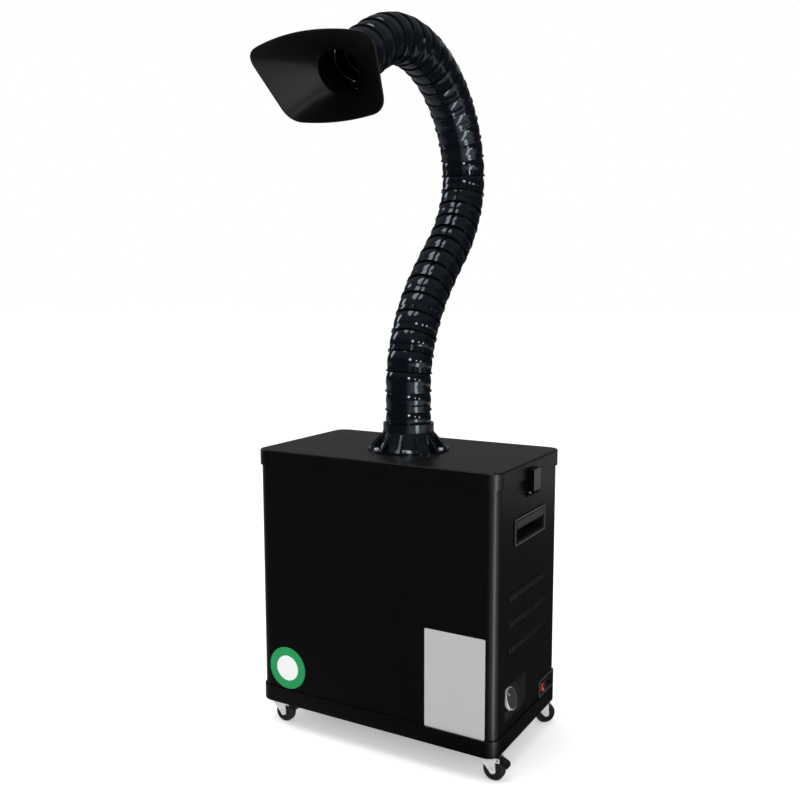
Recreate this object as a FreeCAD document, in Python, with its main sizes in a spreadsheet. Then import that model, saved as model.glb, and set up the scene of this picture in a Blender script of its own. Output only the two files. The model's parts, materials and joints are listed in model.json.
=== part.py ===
import FreeCAD
import Part
import math
import os
import Sketcher

# Welding fume extractor: a cabinet on casters with a filter stack and a blower inside, and a
# self-holding arm of snap-together rings that carries a suction hood.
# Millimetres, +Z up, +X to the cabinet's right, front towards -Y, origin on the floor.

doc = FreeCAD.newDocument("fume_extractor")
sheet = doc.addObject("Spreadsheet::Sheet", "Sizes")

measures = {
    # cabinet of folded sheet
    "lid_width": 440, "lid_depth": 258, "lid_skirt": 26, "lid_overhang": 3,
    "tray_overhang": 2.5, "tray_height": 27, "box_height": 435, "corner_radius": 18,
    "sheet_metal": 1.5, "bend_radius": 2.5, "rim_width": 16,
    "seal_inset": 3, "seal_width": 9, "seal_height": 3,
    # gaps between pieces: seated pieces, moving pieces and pins in their holes
    "seat_gap": 0.3, "free_gap": 0.8, "pin_gap": 0.05,
    # louvre slits in both sides
    "louvre_width": 4.5, "louvre_height": 9, "louvre_pitch": 9.5, "louvre_row_pitch": 41.3,
    "louvre_drop": 284,
    # pocket handles in both sides
    "handle_width": 122, "handle_height": 41, "handle_drop": 102.2, "handle_depth": 27,
    "handle_bezel": 2, "handle_lap": 4, "handle_wall": 2, "grip_drop": 11, "grip_thick": 4.5,
    # slanted control pocket, front half of the right side
    "pocket_width": 82, "pocket_height": 58, "pocket_margin": 79, "pocket_rise": 68,
    "pocket_shallow": 5, "pocket_deep": 22, "pocket_flange": 8,
    "knob_radius": 18, "knob_height": 12, "knob_forward": 13, "knob_cap_thick": 1, "knob_rim": 1.6,
    "spindle_radius": 3, "regulator_radius": 9, "regulator_height": 11,
    # power inlet, rear half of the right side
    "inlet_width": 64, "inlet_height": 28, "inlet_margin": 45, "inlet_rise": 16,
    "inlet_plate": 2, "inlet_depth": 22, "inlet_lap": 2.5,
    "socket_width": 24.5, "socket_height": 17, "socket_depth": 17, "socket_shift": 13,
    "pin_width": 4, "pin_thick": 2, "pin_length": 14, "pin_spread": 7, "pin_step": 2,
    "rocker_width": 9, "rocker_height": 13.5, "rocker_depth": 4, "rocker_shift": 20, "rocker_bow": 2.4,
    "rocker_pin": 1.2, "rocker_tilt": 8,
    # draw latches at the middle of both sides
    "latch_width": 26, "latch_drop": 30, "latch_reach": 15, "latch_thick": 8, "latch_pin": 1.5,
    "latch_plate": 1.5, "latch_ear": 6, "latch_foot": 8, "latch_round": 3,
    # duct flange on the lid
    "foot_radius": 68, "foot_thick": 3, "screw_circle": 60.5, "screw_radius": 2, "screw_head": 4,
    "screw_head_height": 2.6, "screw_tail": 3, "duct_rise": 19.8, "collar_wall": 3.2, "collar_height": 10.3,
    "bell_wall": 2.6, "gusset_thick": 4,
    # arm rings
    "ring_pitch": 30.9, "ring_radius": 37.5, "ring_centre": 17, "ring_wall": 2.2, "ring_bore": 26,
    "ring_band": 36.6, "lip_radius": 38.5, "lip_height": 2.4,
    # hood
    "neck_length": 20, "neck_wall": 3, "hood_bore": 35.5, "horn_length": 48, "hood_wall": 2.5,
    "mouth_top": 208, "mouth_bottom": 162, "mouth_above": 70, "mouth_below": 38,
    "mouth_top_bow": 17, "mouth_bottom_bow": 9, "mouth_corner": 22,
    # casters
    "caster_height": 41, "caster_inset_x": 21, "caster_inset_y": 22, "caster_plate": 34,
    "caster_plate_thick": 1.5, "bolt_spread": 24, "bolt_radius": 2, "bolt_head": 3.4, "bolt_head_height": 1.8,
    "raceway_radius": 12, "raceway_height": 1.5, "kingpin_radius": 4, "kingpin_head": 6,
    "kingpin_head_height": 1.2, "fork_sheet": 1.8, "fork_front": 13, "trail": 12,
    "axle_radius": 2.5, "axle_head": 4, "axle_head_height": 1.5,
    "wheel_radius": 17, "wheel_width": 13, "hub_radius": 6, "wheel_dish": 2.5,
    "brake_pin": 1.5, "brake_thick": 2.6, "brake_x": 8, "brake_z": 17.4, "brake_standoff": 4,
    # filters on their shelf
    "filter_headroom": 34, "shelf_lip": 12, "shelf_hole": 52,
    "filter_side_gap": 15, "filter_clear": 1, "filter_frame": 12, "filter_dish": 3,
    "carbon_height": 40, "fine_height": 70, "prefilter_height": 36,
    # blower under the shelf
    "scroll_radius": 95, "scroll_height": 80, "scroll_wall": 2.5, "outlet_reach": 165, "outlet_width": 60,
    "wheel_of_blades": 76, "blade_height": 46, "blade_thick": 2, "blade_length": 24, "blade_plate": 2.5,
    "blade_hub": 14, "shaft_radius": 4, "motor_radius": 40, "motor_height": 62, "motor_boss": 9,
    "impeller_clear": 6,
    # control board on the tray floor
    "board_width": 110, "board_depth": 72, "board_thick": 1.6, "board_post": 8, "board_post_radius": 3,
    "board_margin": 107, "board_y": 40,
}
# Levels and sizes that follow the cabinet: handles, louvres and filter shelf hang from its top, the control
# pocket keeps to its front, the inlet to its back and the control board to its right side, and the filters
# pass through the rim and between the handles.
followers = {
    "handle_rise": "box_height - handle_drop",
    "louvre_rise": "box_height - louvre_drop",
    "pocket_forward": "lid_depth / 2 - lid_overhang - pocket_margin",
    "inlet_back": "lid_depth / 2 - lid_overhang - inlet_margin",
    "board_x": "lid_width / 2 - lid_overhang - board_margin",
    "filter_width": "lid_width - 2 * (lid_overhang + handle_depth + filter_side_gap)",
    "filter_depth": "lid_depth - 2 * (lid_overhang + rim_width + filter_clear)",
    "filter_stack": "carbon_height + fine_height + prefilter_height",
    "shelf_rise": "box_height - 2 * sheet_metal - seal_height - filter_headroom - filter_stack",
}

louvre_columns = 16
louvre_rows = 3
screw_count = 6
gusset_count = 2 * screw_count
blade_count = 24
caster_bolts_each = ((-1, -1), (-1, 1), (1, -1), (1, 1))
# How many degrees each ring of the arm leans back from the one below, from the flange to the hood.
arm_turns = (0, 0, 0, 8, 8, 8, 6, 6, 6, 2, 2, 2, -8, -8, -8, -13, -13, -13, -9, -9, -9,
             -8, -8, -8, -8, -8, -8, -10, -10, -10, 0, 0)
hood_bend = -10
# Where the trailing wheels point, in degrees from +X towards +Y.
caster_turns = {"front_left": 0, "front_right": 0, "rear_left": 15, "rear_right": 40}
caster_signs = {"front_left": (-1, -1), "front_right": (1, -1), "rear_left": (-1, 1), "rear_right": (1, 1)}


class Size:
    """A length with its formula, so that plain arithmetic also writes the cell expression."""

    def __init__(self, text, value):
        self.text = text
        self.value = value

    def join(self, other, sign, value):
        return Size("(" + self.text + " " + sign + " " + other.text + ")", value)

    def __add__(self, other):
        other = as_size(other)
        return self.join(other, "+", self.value + other.value)

    def __sub__(self, other):
        other = as_size(other)
        return self.join(other, "-", self.value - other.value)

    def __mul__(self, other):
        other = as_size(other)
        return self.join(other, "*", self.value * other.value)

    def __truediv__(self, other):
        other = as_size(other)
        return self.join(other, "/", self.value / other.value)

    def __radd__(self, other):
        return as_size(other) + self

    def __rsub__(self, other):
        return as_size(other) - self

    def __rmul__(self, other):
        return as_size(other) * self

    def __neg__(self):
        return as_size(0) - self


def as_size(number):
    if isinstance(number, Size):
        return number
    return Size(repr(float(number)), float(number))


class Sizes:
    """The sheet's cells by name."""


s = Sizes()
cells = {name: str(value) for name, value in measures.items()}
cells.update({name: "=" + formula for name, formula in followers.items()})
for row, (cell_name, cell_text) in enumerate(cells.items(), start=1):
    sheet.set("A%d" % row, cell_name)
    sheet.set("B%d" % row, cell_text)
    sheet.setAlias("B%d" % row, cell_name)
doc.recompute()
for cell_name in cells:
    setattr(s, cell_name, Size("Sizes." + cell_name, float(sheet.get(cell_name))))

along_x = FreeCAD.Vector(1, 0, 0)
along_y = FreeCAD.Vector(0, 1, 0)
along_z = FreeCAD.Vector(0, 0, 1)
turns = {
    "up": FreeCAD.Rotation(),
    "front": FreeCAD.Rotation(along_x, along_z, -along_y, "ZXY"),
}
nodes = {}


def bind(item, name, size):
    item.setExpression(name, as_size(size).text)


def place(item, at, facing="up"):
    item.Placement = FreeCAD.Placement(FreeCAD.Vector(), turns[facing])
    for letter, size in zip("xyz", at):
        bind(item, "Placement.Base." + letter, size)


def node(item):
    nodes[item.Label] = item
    return item


def rect(width, depth, x=0, y=0):
    """Four corners of a rectangle about a middle point."""
    x, y = as_size(x), as_size(y)
    return [(x - width / 2, y - depth / 2), (x + width / 2, y - depth / 2),
            (x + width / 2, y + depth / 2), (x - width / 2, y + depth / 2)]


def pin_point(sketch, geometry, point, x, y):
    """Ties one sketch point to the origin by its two formulas."""
    for kind, axis, size in (("DistanceX", -2, as_size(x)), ("DistanceY", -1, as_size(y))):
        if abs(size.value) < 1e-9:
            sketch.addConstraint(Sketcher.Constraint("PointOnObject", geometry, point, axis))
        else:
            index = sketch.addConstraint(Sketcher.Constraint(kind, -1, 1, geometry, point, size.value))
            sketch.setExpression("Constraints[%d]" % index, size.text)


def draw(body, plane_role, outline, holes=()):
    """A sketch with one closed outline of straight lines, and round holes in it."""
    sketch = body.newObject("Sketcher::SketchObject", body.Name + "_sketch")
    plane = [item for item in body.Origin.OriginFeatures if item.Role == plane_role][0]
    sketch.AttachmentSupport = (plane, [""])
    sketch.MapMode = "FlatFace"
    corners = [FreeCAD.Vector(as_size(x).value, as_size(y).value, 0) for x, y in outline]
    count = len(corners)
    for i in range(count):
        sketch.addGeometry(Part.LineSegment(corners[i], corners[(i + 1) % count]), False)
    for i in range(count):
        sketch.addConstraint(Sketcher.Constraint("Coincident", i, 2, (i + 1) % count, 1))
    for i, (x, y) in enumerate(outline):
        pin_point(sketch, i, 1, x, y)
    for x, y, radius in holes:
        middle = FreeCAD.Vector(as_size(x).value, as_size(y).value, 0)
        circle = sketch.addGeometry(Part.Circle(middle, FreeCAD.Vector(0, 0, 1), radius.value), False)
        pin_point(sketch, circle, 3, x, y)
        index = sketch.addConstraint(Sketcher.Constraint("Radius", circle, radius.value))
        sketch.setExpression("Constraints[%d]" % index, radius.text)
    return sketch


def round_edges(body, feature, choose, radius, name):
    """Rounds the edges of a feature that the choose test picks."""
    doc.recompute()
    edges = ["Edge%d" % (i + 1) for i, edge in enumerate(feature.Shape.Edges) if choose(edge)]
    fillet = body.newObject("PartDesign::Fillet", body.Name + name)
    fillet.Base = (feature, edges)
    bind(fillet, "Radius", radius)
    return fillet


def is_upright(edge):
    return abs(edge.BoundBox.ZLength) > 1e-6 and edge.BoundBox.XLength < 1e-6 and edge.BoundBox.YLength < 1e-6


def prism(name, outline, length, at=(0, 0, 0), facing="up", holes=(), corner=None,
          rounded_end=None, end_radius=None):
    """A straight body of one outline, with optional round corners and one rounded end."""
    body = doc.addObject("PartDesign::Body", name)
    pad = body.newObject("PartDesign::Pad", name + "_pad")
    pad.Profile = draw(body, "XY_Plane", outline, holes)
    bind(pad, "Length", length)
    feature = pad
    if corner is not None:
        feature = round_edges(body, feature, is_upright, corner, "_corners")
    if rounded_end is not None:
        level = as_size(length).value if rounded_end == "top" else 0.0

        def lies_on_end(edge):
            return abs(edge.BoundBox.ZMin - level) < 1e-6 and abs(edge.BoundBox.ZMax - level) < 1e-6

        feature = round_edges(body, feature, lies_on_end, end_radius, "_end")
    body.Tip = feature
    place(body, at, facing)
    return body


def lathe(name, outline, at=(0, 0, 0)):
    """A turned body: the outline is (radius, height) about the upright axis."""
    body = doc.addObject("PartDesign::Body", name)
    sketch = draw(body, "XZ_Plane", outline)
    turned = body.newObject("PartDesign::Revolution", name + "_turned")
    turned.Profile = sketch
    turned.ReferenceAxis = (sketch, ["V_Axis"])
    turned.Angle = 360
    body.Tip = turned
    place(body, at)
    return body


def box(name, low, high):
    """A box between two corners."""
    item = doc.addObject("Part::Box", name)
    for side, a, b in zip(("Length", "Width", "Height"), low, high):
        bind(item, side, as_size(b) - a)
    place(item, low)
    return item


def cylinder(name, radius, length, at, facing="up"):
    item = doc.addObject("Part::Cylinder", name)
    bind(item, "Radius", radius)
    bind(item, "Height", length)
    place(item, at, facing)
    return item


def sphere(name, radius, at):
    item = doc.addObject("Part::Sphere", name)
    bind(item, "Radius", radius)
    place(item, at)
    return item


def group(name, items):
    item = doc.addObject("Part::Compound", name)
    item.Links = items
    return item


def fuse(name, items):
    item = doc.addObject("Part::MultiFuse", name)
    item.Shapes = items
    return item


def cut(name, base, tools):
    item = doc.addObject("Part::Cut", name)
    item.Base = base
    item.Tool = tools[0] if len(tools) == 1 else fuse(name + "_tools", tools)
    return item


def common(name, base, tool):
    item = doc.addObject("Part::Common", name)
    item.Base = base
    item.Tool = tool
    return item


def copied(name, shape, placement):
    """A separate piece with a master's shape in its own place."""
    item = doc.addObject("Part::Feature", name)
    item.Shape = shape.copy()
    item.Placement = placement
    return item


# Levels and outer sizes that several pieces share
body_width = s.lid_width - 2 * s.lid_overhang
body_depth = s.lid_depth - 2 * s.lid_overhang
side_x = body_width / 2
tray_width = body_width + 2 * s.tray_overhang
tray_depth = body_depth + 2 * s.tray_overhang
tray_floor = s.caster_height + s.sheet_metal
tray_top = s.caster_height + s.tray_height
lid_top = s.caster_height + s.box_height
skirt_low = lid_top - s.lid_skirt
rim_top = lid_top - s.sheet_metal - s.seal_height
caster_x = body_width / 2 - s.caster_inset_x
caster_y = body_depth / 2 - s.caster_inset_y
over = 2.0


def caster_places():
    for name, (sign_x, sign_y) in caster_signs.items():
        yield name, sign_x * caster_x, sign_y * caster_y


def bolt_places():
    for name, x, y in caster_places():
        for i, (sign_x, sign_y) in enumerate(caster_bolts_each):
            yield "%s_%d" % (name, i), x + sign_x * s.bolt_spread / 2, y + sign_y * s.bolt_spread / 2


def make_tray():
    outer = prism("tray_outer", rect(tray_width, tray_depth), s.tray_height, (0, 0, s.caster_height),
                  corner=s.corner_radius + s.tray_overhang, rounded_end="bottom", end_radius=s.bend_radius)
    inner = prism("tray_inner", rect(tray_width - 2 * s.sheet_metal, tray_depth - 2 * s.sheet_metal),
                  s.tray_height, (0, 0, tray_floor), corner=s.corner_radius + s.tray_overhang - s.sheet_metal)
    holes = [cylinder("tray_hole_" + name, s.bolt_radius + s.seat_gap, s.sheet_metal + 2 * over,
                      (x, y, s.caster_height - over)) for name, x, y in bolt_places()]
    node(cut("base_tray", outer, [inner, group("tray_holes", holes)]))


# Middles and sizes of the handle's cup, the control pocket's opening and the inlet's box
handle_z = s.caster_height + s.handle_rise
cup_width = s.handle_width - 2 * s.handle_lap
cup_height = s.handle_height - 2 * s.handle_lap
pocket_y = -s.pocket_forward
pocket_z = s.caster_height + s.pocket_rise
inlet_z = tray_top + s.inlet_rise
inlet_box_width = s.inlet_width - 2 * s.inlet_lap
inlet_box_height = s.inlet_height - 2 * s.inlet_lap


def side_opening(name, y, z, width, height, both_sides=False):
    """A straight cut through the right side, or through both sides."""
    low_x = -side_x - over if both_sides else side_x - s.corner_radius
    y = as_size(y)
    return box(name, (low_x, y - width / 2, z - height / 2), (side_x + over, y + width / 2, z + height / 2))


def make_shell():
    outer = prism("shell_outer", rect(body_width, body_depth), rim_top - tray_floor, (0, 0, tray_floor),
                  corner=s.corner_radius)
    inner = prism("shell_inner", rect(body_width - 2 * s.sheet_metal, body_depth - 2 * s.sheet_metal),
                  rim_top - s.sheet_metal - tray_floor + over, (0, 0, tray_floor - over),
                  corner=s.corner_radius - s.sheet_metal)
    mouth = prism("shell_mouth", rect(body_width - 2 * s.rim_width, body_depth - 2 * s.rim_width),
                  s.rim_width, (0, 0, rim_top - s.rim_width / 2), corner=s.corner_radius / 2)
    openings = [
        side_opening("shell_handles", 0, handle_z, cup_width + 2 * s.seat_gap,
                     cup_height + 2 * s.seat_gap, True),
        side_opening("shell_pocket", pocket_y, pocket_z, s.pocket_width, s.pocket_height),
        side_opening("shell_inlet", s.inlet_back, inlet_z, inlet_box_width + 2 * s.seat_gap,
                     inlet_box_height + 2 * s.seat_gap),
    ]
    for row in range(louvre_rows):
        for column in range(louvre_columns):
            y = (column - (louvre_columns - 1) / 2) * s.louvre_pitch
            z = s.caster_height + s.louvre_rise + row * s.louvre_row_pitch
            openings.append(side_opening("louvre_%d_%d" % (row, column), y, z, s.louvre_width,
                                         s.louvre_height, True))
    node(cut("cabinet_shell", outer, [inner, mouth, group("shell_openings", openings)]))


def screw_places():
    for i in range(screw_count):
        angle = 2 * math.pi * i / screw_count
        yield i, s.screw_circle * math.cos(angle), s.screw_circle * math.sin(angle)


lip_level = lid_top + s.duct_rise + s.ring_pitch - s.ring_centre


def make_lid():
    outer = prism("lid_outer", rect(s.lid_width, s.lid_depth), s.lid_skirt, (0, 0, skirt_low),
                  corner=s.corner_radius + s.lid_overhang, rounded_end="top", end_radius=s.bend_radius)
    inner = prism("lid_inner", rect(s.lid_width - 2 * s.sheet_metal, s.lid_depth - 2 * s.sheet_metal),
                  s.lid_skirt - s.sheet_metal + over, (0, 0, skirt_low - over),
                  corner=s.corner_radius + s.lid_overhang - s.sheet_metal)
    duct = cylinder("lid_duct", s.hood_bore, s.lid_skirt, (0, 0, lid_top - s.lid_skirt / 2))
    holes = [cylinder("lid_hole_%d" % i, s.screw_radius + s.seat_gap, s.lid_skirt,
                      (x, y, lid_top - s.lid_skirt / 2)) for i, x, y in screw_places()]
    node(cut("lid", outer, [inner, duct, group("lid_holes", holes)]))
    seal_outer = prism("seal_outer", rect(body_width - 2 * s.seal_inset, body_depth - 2 * s.seal_inset),
                       s.seal_height, (0, 0, rim_top), corner=s.corner_radius - s.seal_inset)
    seal_reach = s.seal_inset + s.seal_width
    seal_inner = prism("seal_inner", rect(body_width - 2 * seal_reach, body_depth - 2 * seal_reach),
                       s.seal_height + 2 * over, (0, 0, rim_top - over), corner=s.corner_radius / 2)
    node(cut("lid_seal", seal_outer, [seal_inner]))


def make_flange():
    """Bell-shaped foot with gussets, and a collar that the lowest ring turns in."""
    seat = lip_level - lid_top - s.seat_gap
    collar = s.lip_radius + s.seat_gap + s.collar_wall
    collar_top = lip_level - lid_top + s.collar_height
    bead = s.ring_radius + s.seat_gap
    lip_room = s.lip_radius + s.seat_gap
    ledge = seat - s.bell_wall
    spread = s.foot_radius - collar
    shoulder = spread * 0.5
    bell = [(shoulder, s.foot_thick), (spread * 0.41, seat * 0.18), (spread * 0.26, seat * 0.4),
            (spread * 0.12, seat * 0.68)]
    outside = [(collar + r, z) for r, z in bell]
    inside = [(collar + r - s.bell_wall, z) for r, z in reversed(bell)]
    outline = [(s.foot_radius, 0), (s.foot_radius, s.foot_thick)] + outside
    outline += [(collar, ledge), (collar, collar_top), (bead, collar_top)]
    outline += [(bead, lip_level - lid_top + s.lip_height + s.seat_gap)]
    outline += [(lip_room, lip_level - lid_top + s.lip_height + s.seat_gap), (lip_room, seat)]
    outline += [(s.ring_bore, seat), (s.ring_bore, ledge), (collar - s.bell_wall, ledge)] + inside
    outline += [(collar + shoulder - s.bell_wall, 0)]
    bell_body = lathe("flange_bell", outline, (0, 0, lid_top))
    rib_end = s.foot_radius - s.bell_wall
    rib = lathe("flange_ribs", [(collar - s.bell_wall / 2, ledge), (rib_end, s.foot_thick),
                                (rib_end, s.foot_thick / 2), (collar + shoulder, s.foot_thick / 2)],
                (0, 0, lid_top))
    ribs = []
    for i in range(gusset_count // 2):
        slab = box("flange_slab_%d" % i, (-s.foot_radius, -s.gusset_thick / 2, lid_top),
                   (s.foot_radius, s.gusset_thick / 2, lid_top + seat))
        half_turn = 180.0 / gusset_count + 360.0 * i / gusset_count
        turned = doc.addObject("Part::Compound", "flange_slab_turned_%d" % i)
        turned.Links = [slab]
        turned.Placement = FreeCAD.Placement(FreeCAD.Vector(), FreeCAD.Rotation(along_z, half_turn))
        ribs.append(turned)
    gussets = common("flange_gussets", rib, fuse("flange_slabs", ribs))
    hollow = lathe("flange_hollow", [(0, -over), (collar + shoulder - s.bell_wall, -over),
                                     (collar + shoulder - s.bell_wall, 0)] + list(reversed(inside))
                   + [(collar - s.bell_wall, ledge), (0, ledge)], (0, 0, lid_top))
    holes = [cylinder("flange_hole_%d" % i, s.screw_radius + s.seat_gap, s.foot_thick + 2 * over,
                      (x, y, lid_top - over)) for i, x, y in screw_places()]
    ribs_only = cut("flange_ribs_open", gussets, [hollow])
    node(cut("duct_flange", fuse("flange_solid", [bell_body, ribs_only]), [group("flange_holes", holes)]))
    screws = []
    for i, x, y in screw_places():
        head = cylinder("flange_head_%d" % i, s.screw_head, s.screw_head_height,
                        (x, y, lid_top + s.foot_thick))
        shank = cylinder("flange_shank_%d" % i, s.screw_radius, s.foot_thick + s.sheet_metal + s.screw_tail,
                         (x, y, lid_top - s.sheet_metal - s.screw_tail))
        screws.append(fuse("flange_screw_%d" % i, [head, shank]))
    node(group("flange_screws", screws))


def make_ring():
    """One moulded ring, its lower lip at the origin: a dome on top and a socket for the dome below."""
    dome = common("ring_dome", sphere("ring_ball", s.ring_radius, (0, 0, s.ring_centre)),
                  cylinder("ring_trim", 2 * s.ring_radius, 2 * s.ring_radius, (0, 0, 0)))
    band = cylinder("ring_band_wall", s.ring_band, s.ring_centre, (0, 0, 0))
    lip = cylinder("ring_lip", s.lip_radius, s.lip_height, (0, 0, 0))
    inside = sphere("ring_inside", s.ring_radius - s.ring_wall, (0, 0, s.ring_centre))
    socket = sphere("ring_socket", s.ring_radius + s.seat_gap, (0, 0, s.ring_centre - s.ring_pitch))
    bore = cylinder("ring_bore_way", s.ring_bore, 3 * s.ring_radius, (0, 0, 0))
    return cut("arm_ring", fuse("ring_solid", [dome, band, lip]), [inside, socket, bore])


def arm_frames():
    """Placement of every ring, then of the hood, along the arm's bends."""
    centre = FreeCAD.Vector(0, 0, (lid_top + s.duct_rise).value)
    heading = 0.0
    lip_offset = (s.ring_pitch - s.ring_centre).value
    for turn in arm_turns:
        heading += turn
        rotation = FreeCAD.Rotation(along_x, -heading)
        axis = rotation.multVec(FreeCAD.Vector(0, 0, 1))
        yield FreeCAD.Placement(centre + axis * lip_offset, rotation)
        centre = centre + axis * s.ring_pitch.value
    yield FreeCAD.Placement(centre, FreeCAD.Rotation(along_x, -heading - hood_bend))


def make_arm():
    """Rings two by two: the joint inside each pair is kept at its angle."""
    ring = make_ring()
    doc.recompute()
    frames = list(arm_frames())
    for i in range(0, len(frames) - 1, 2):
        lower, upper = frames[i], frames[i + 1]
        pair = Part.makeCompound([ring.Shape.copy(), ring.Shape.transformed(
            lower.inverse().multiply(upper).toMatrix(), True)])
        node(copied("arm_rings_%02d" % (i // 2 + 1), pair, lower))
    make_hood(frames[-1])


def mouth_points(inset):
    """Corners and edge middles of the hood's mouth, seen along the neck, inside a given inset."""
    top, low = s.mouth_above.value - inset, -s.mouth_below.value + inset
    half_top, half_low = s.mouth_top.value / 2 - inset, s.mouth_bottom.value / 2 - inset
    corners = [FreeCAD.Vector(half_top, top), FreeCAD.Vector(-half_top, top),
               FreeCAD.Vector(-half_low, low), FreeCAD.Vector(half_low, low)]
    middles = [FreeCAD.Vector(0, top + s.mouth_top_bow.value), None,
               FreeCAD.Vector(0, low - s.mouth_bottom_bow.value), None]
    return corners, middles


def horn(inset, neck_radius, neck_z, mouth_z):
    """A solid horn from a round neck to the mouth's outline, with straight walls between."""
    corners, middles = mouth_points(inset)
    round_off = s.mouth_corner.value - inset
    rise = FreeCAD.Vector(0, 0, mouth_z)
    sides = []
    for i, middle in enumerate(middles):
        start, end = corners[i], corners[(i + 1) % 4]
        side = Part.LineSegment(start, end) if middle is None else Part.Arc(start, middle, end)
        edge = side.toShape()
        sides.append([edge.valueAt(edge.getParameterByLength(length))
                      for length in (round_off, edge.Length / 2, edge.Length - round_off)])
    mouth_edges = []
    angles = []
    for i, (first, middle, last) in enumerate(sides):
        before = sides[i - 1][2]
        curve = Part.BezierCurve()
        curve.setPoles([before + rise, corners[i] + rise, first + rise])
        mouth_edges.append(curve.toShape())
        straight = middles[i] is None
        side = Part.LineSegment(first + rise, last + rise) if straight else Part.Arc(
            first + rise, middle + rise, last + rise)
        mouth_edges.append(side.toShape())
        angles += [math.atan2(p.y, p.x) for p in (before, first)]
    neck_edges = []
    for i, start in enumerate(angles):
        end = angles[(i + 1) % len(angles)]
        if end < start:
            end += 2 * math.pi
        points = [FreeCAD.Vector(neck_radius * math.cos(a), neck_radius * math.sin(a), neck_z)
                  for a in (start, (start + end) / 2, end)]
        neck_edges.append(Part.Arc(*points).toShape())
    return Part.makeLoft([Part.Wire(neck_edges), Part.Wire(mouth_edges)], True, True)


def make_hood(frame):
    """Round neck with the same socket as a ring, opening into a wide four-sided horn."""
    lip = (s.ring_pitch - s.ring_centre).value
    neck_radius = (s.ring_radius + s.seat_gap + s.neck_wall).value
    horn_start = lip + s.neck_length.value
    mouth_z = horn_start + s.horn_length.value
    neck = Part.makeCylinder(neck_radius, s.neck_length.value, FreeCAD.Vector(0, 0, lip))
    bore = Part.makeCylinder(s.hood_bore.value, horn_start)
    socket = Part.makeSphere((s.ring_radius + s.seat_gap).value)
    outer = horn(0.0, neck_radius, horn_start, mouth_z)
    inner = horn(s.hood_wall.value, s.hood_bore.value, horn_start, mouth_z)
    node(copied("hood", neck.fuse(outer).cut(inner).cut(bore).cut(socket).removeSplitter(), frame))


def make_handles():
    """Moulded cups with a bezel outside the sheet and a grip plate over the top of the opening."""
    inner_x = side_x - s.handle_depth
    bezel = box("handle_bezel_plate", (side_x, -s.handle_width / 2, handle_z - s.handle_height / 2),
                (side_x + s.handle_bezel, s.handle_width / 2, handle_z + s.handle_height / 2))
    cup = box("handle_cup", (inner_x, -cup_width / 2, handle_z - cup_height / 2),
              (side_x, cup_width / 2, handle_z + cup_height / 2))
    room_low = (inner_x + s.handle_wall, -cup_width / 2 + s.handle_wall,
                handle_z - cup_height / 2 + s.handle_wall)
    room_y = cup_width / 2 - s.handle_wall
    room_top = handle_z + cup_height / 2 - s.handle_wall
    grip_back = side_x + s.handle_bezel - s.grip_thick
    room = box("handle_room", room_low, (grip_back, room_y, room_top))
    mouth = box("handle_mouth", room_low, (side_x + s.handle_bezel + over, room_y, room_top - s.grip_drop))
    right = node(cut("handle_right", fuse("handle_solid", [bezel, cup]), [room, mouth]))
    doc.recompute()
    node(copied("handle_left", right.Shape, FreeCAD.Placement(
        FreeCAD.Vector(), FreeCAD.Rotation(along_z, 180))))


# The slanted panel of the control pocket, and the knob's place on it
slant = math.atan2((s.pocket_deep - s.pocket_shallow).value, s.pocket_height.value)
knob_y = pocket_y - s.knob_forward
panel_x = side_x - (s.pocket_deep + s.pocket_shallow) / 2
outward = FreeCAD.Rotation(along_y, 90 - math.degrees(slant))


def tilt_out(item):
    """Stands a turned piece on the slanted panel, its axis square to the panel."""
    item.Placement = FreeCAD.Placement(FreeCAD.Vector(panel_x.value, knob_y.value, pocket_z.value), outward)
    for letter, size in zip("xyz", (panel_x, knob_y, pocket_z)):
        bind(item, "Placement.Base." + letter, size)
    return item


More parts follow.
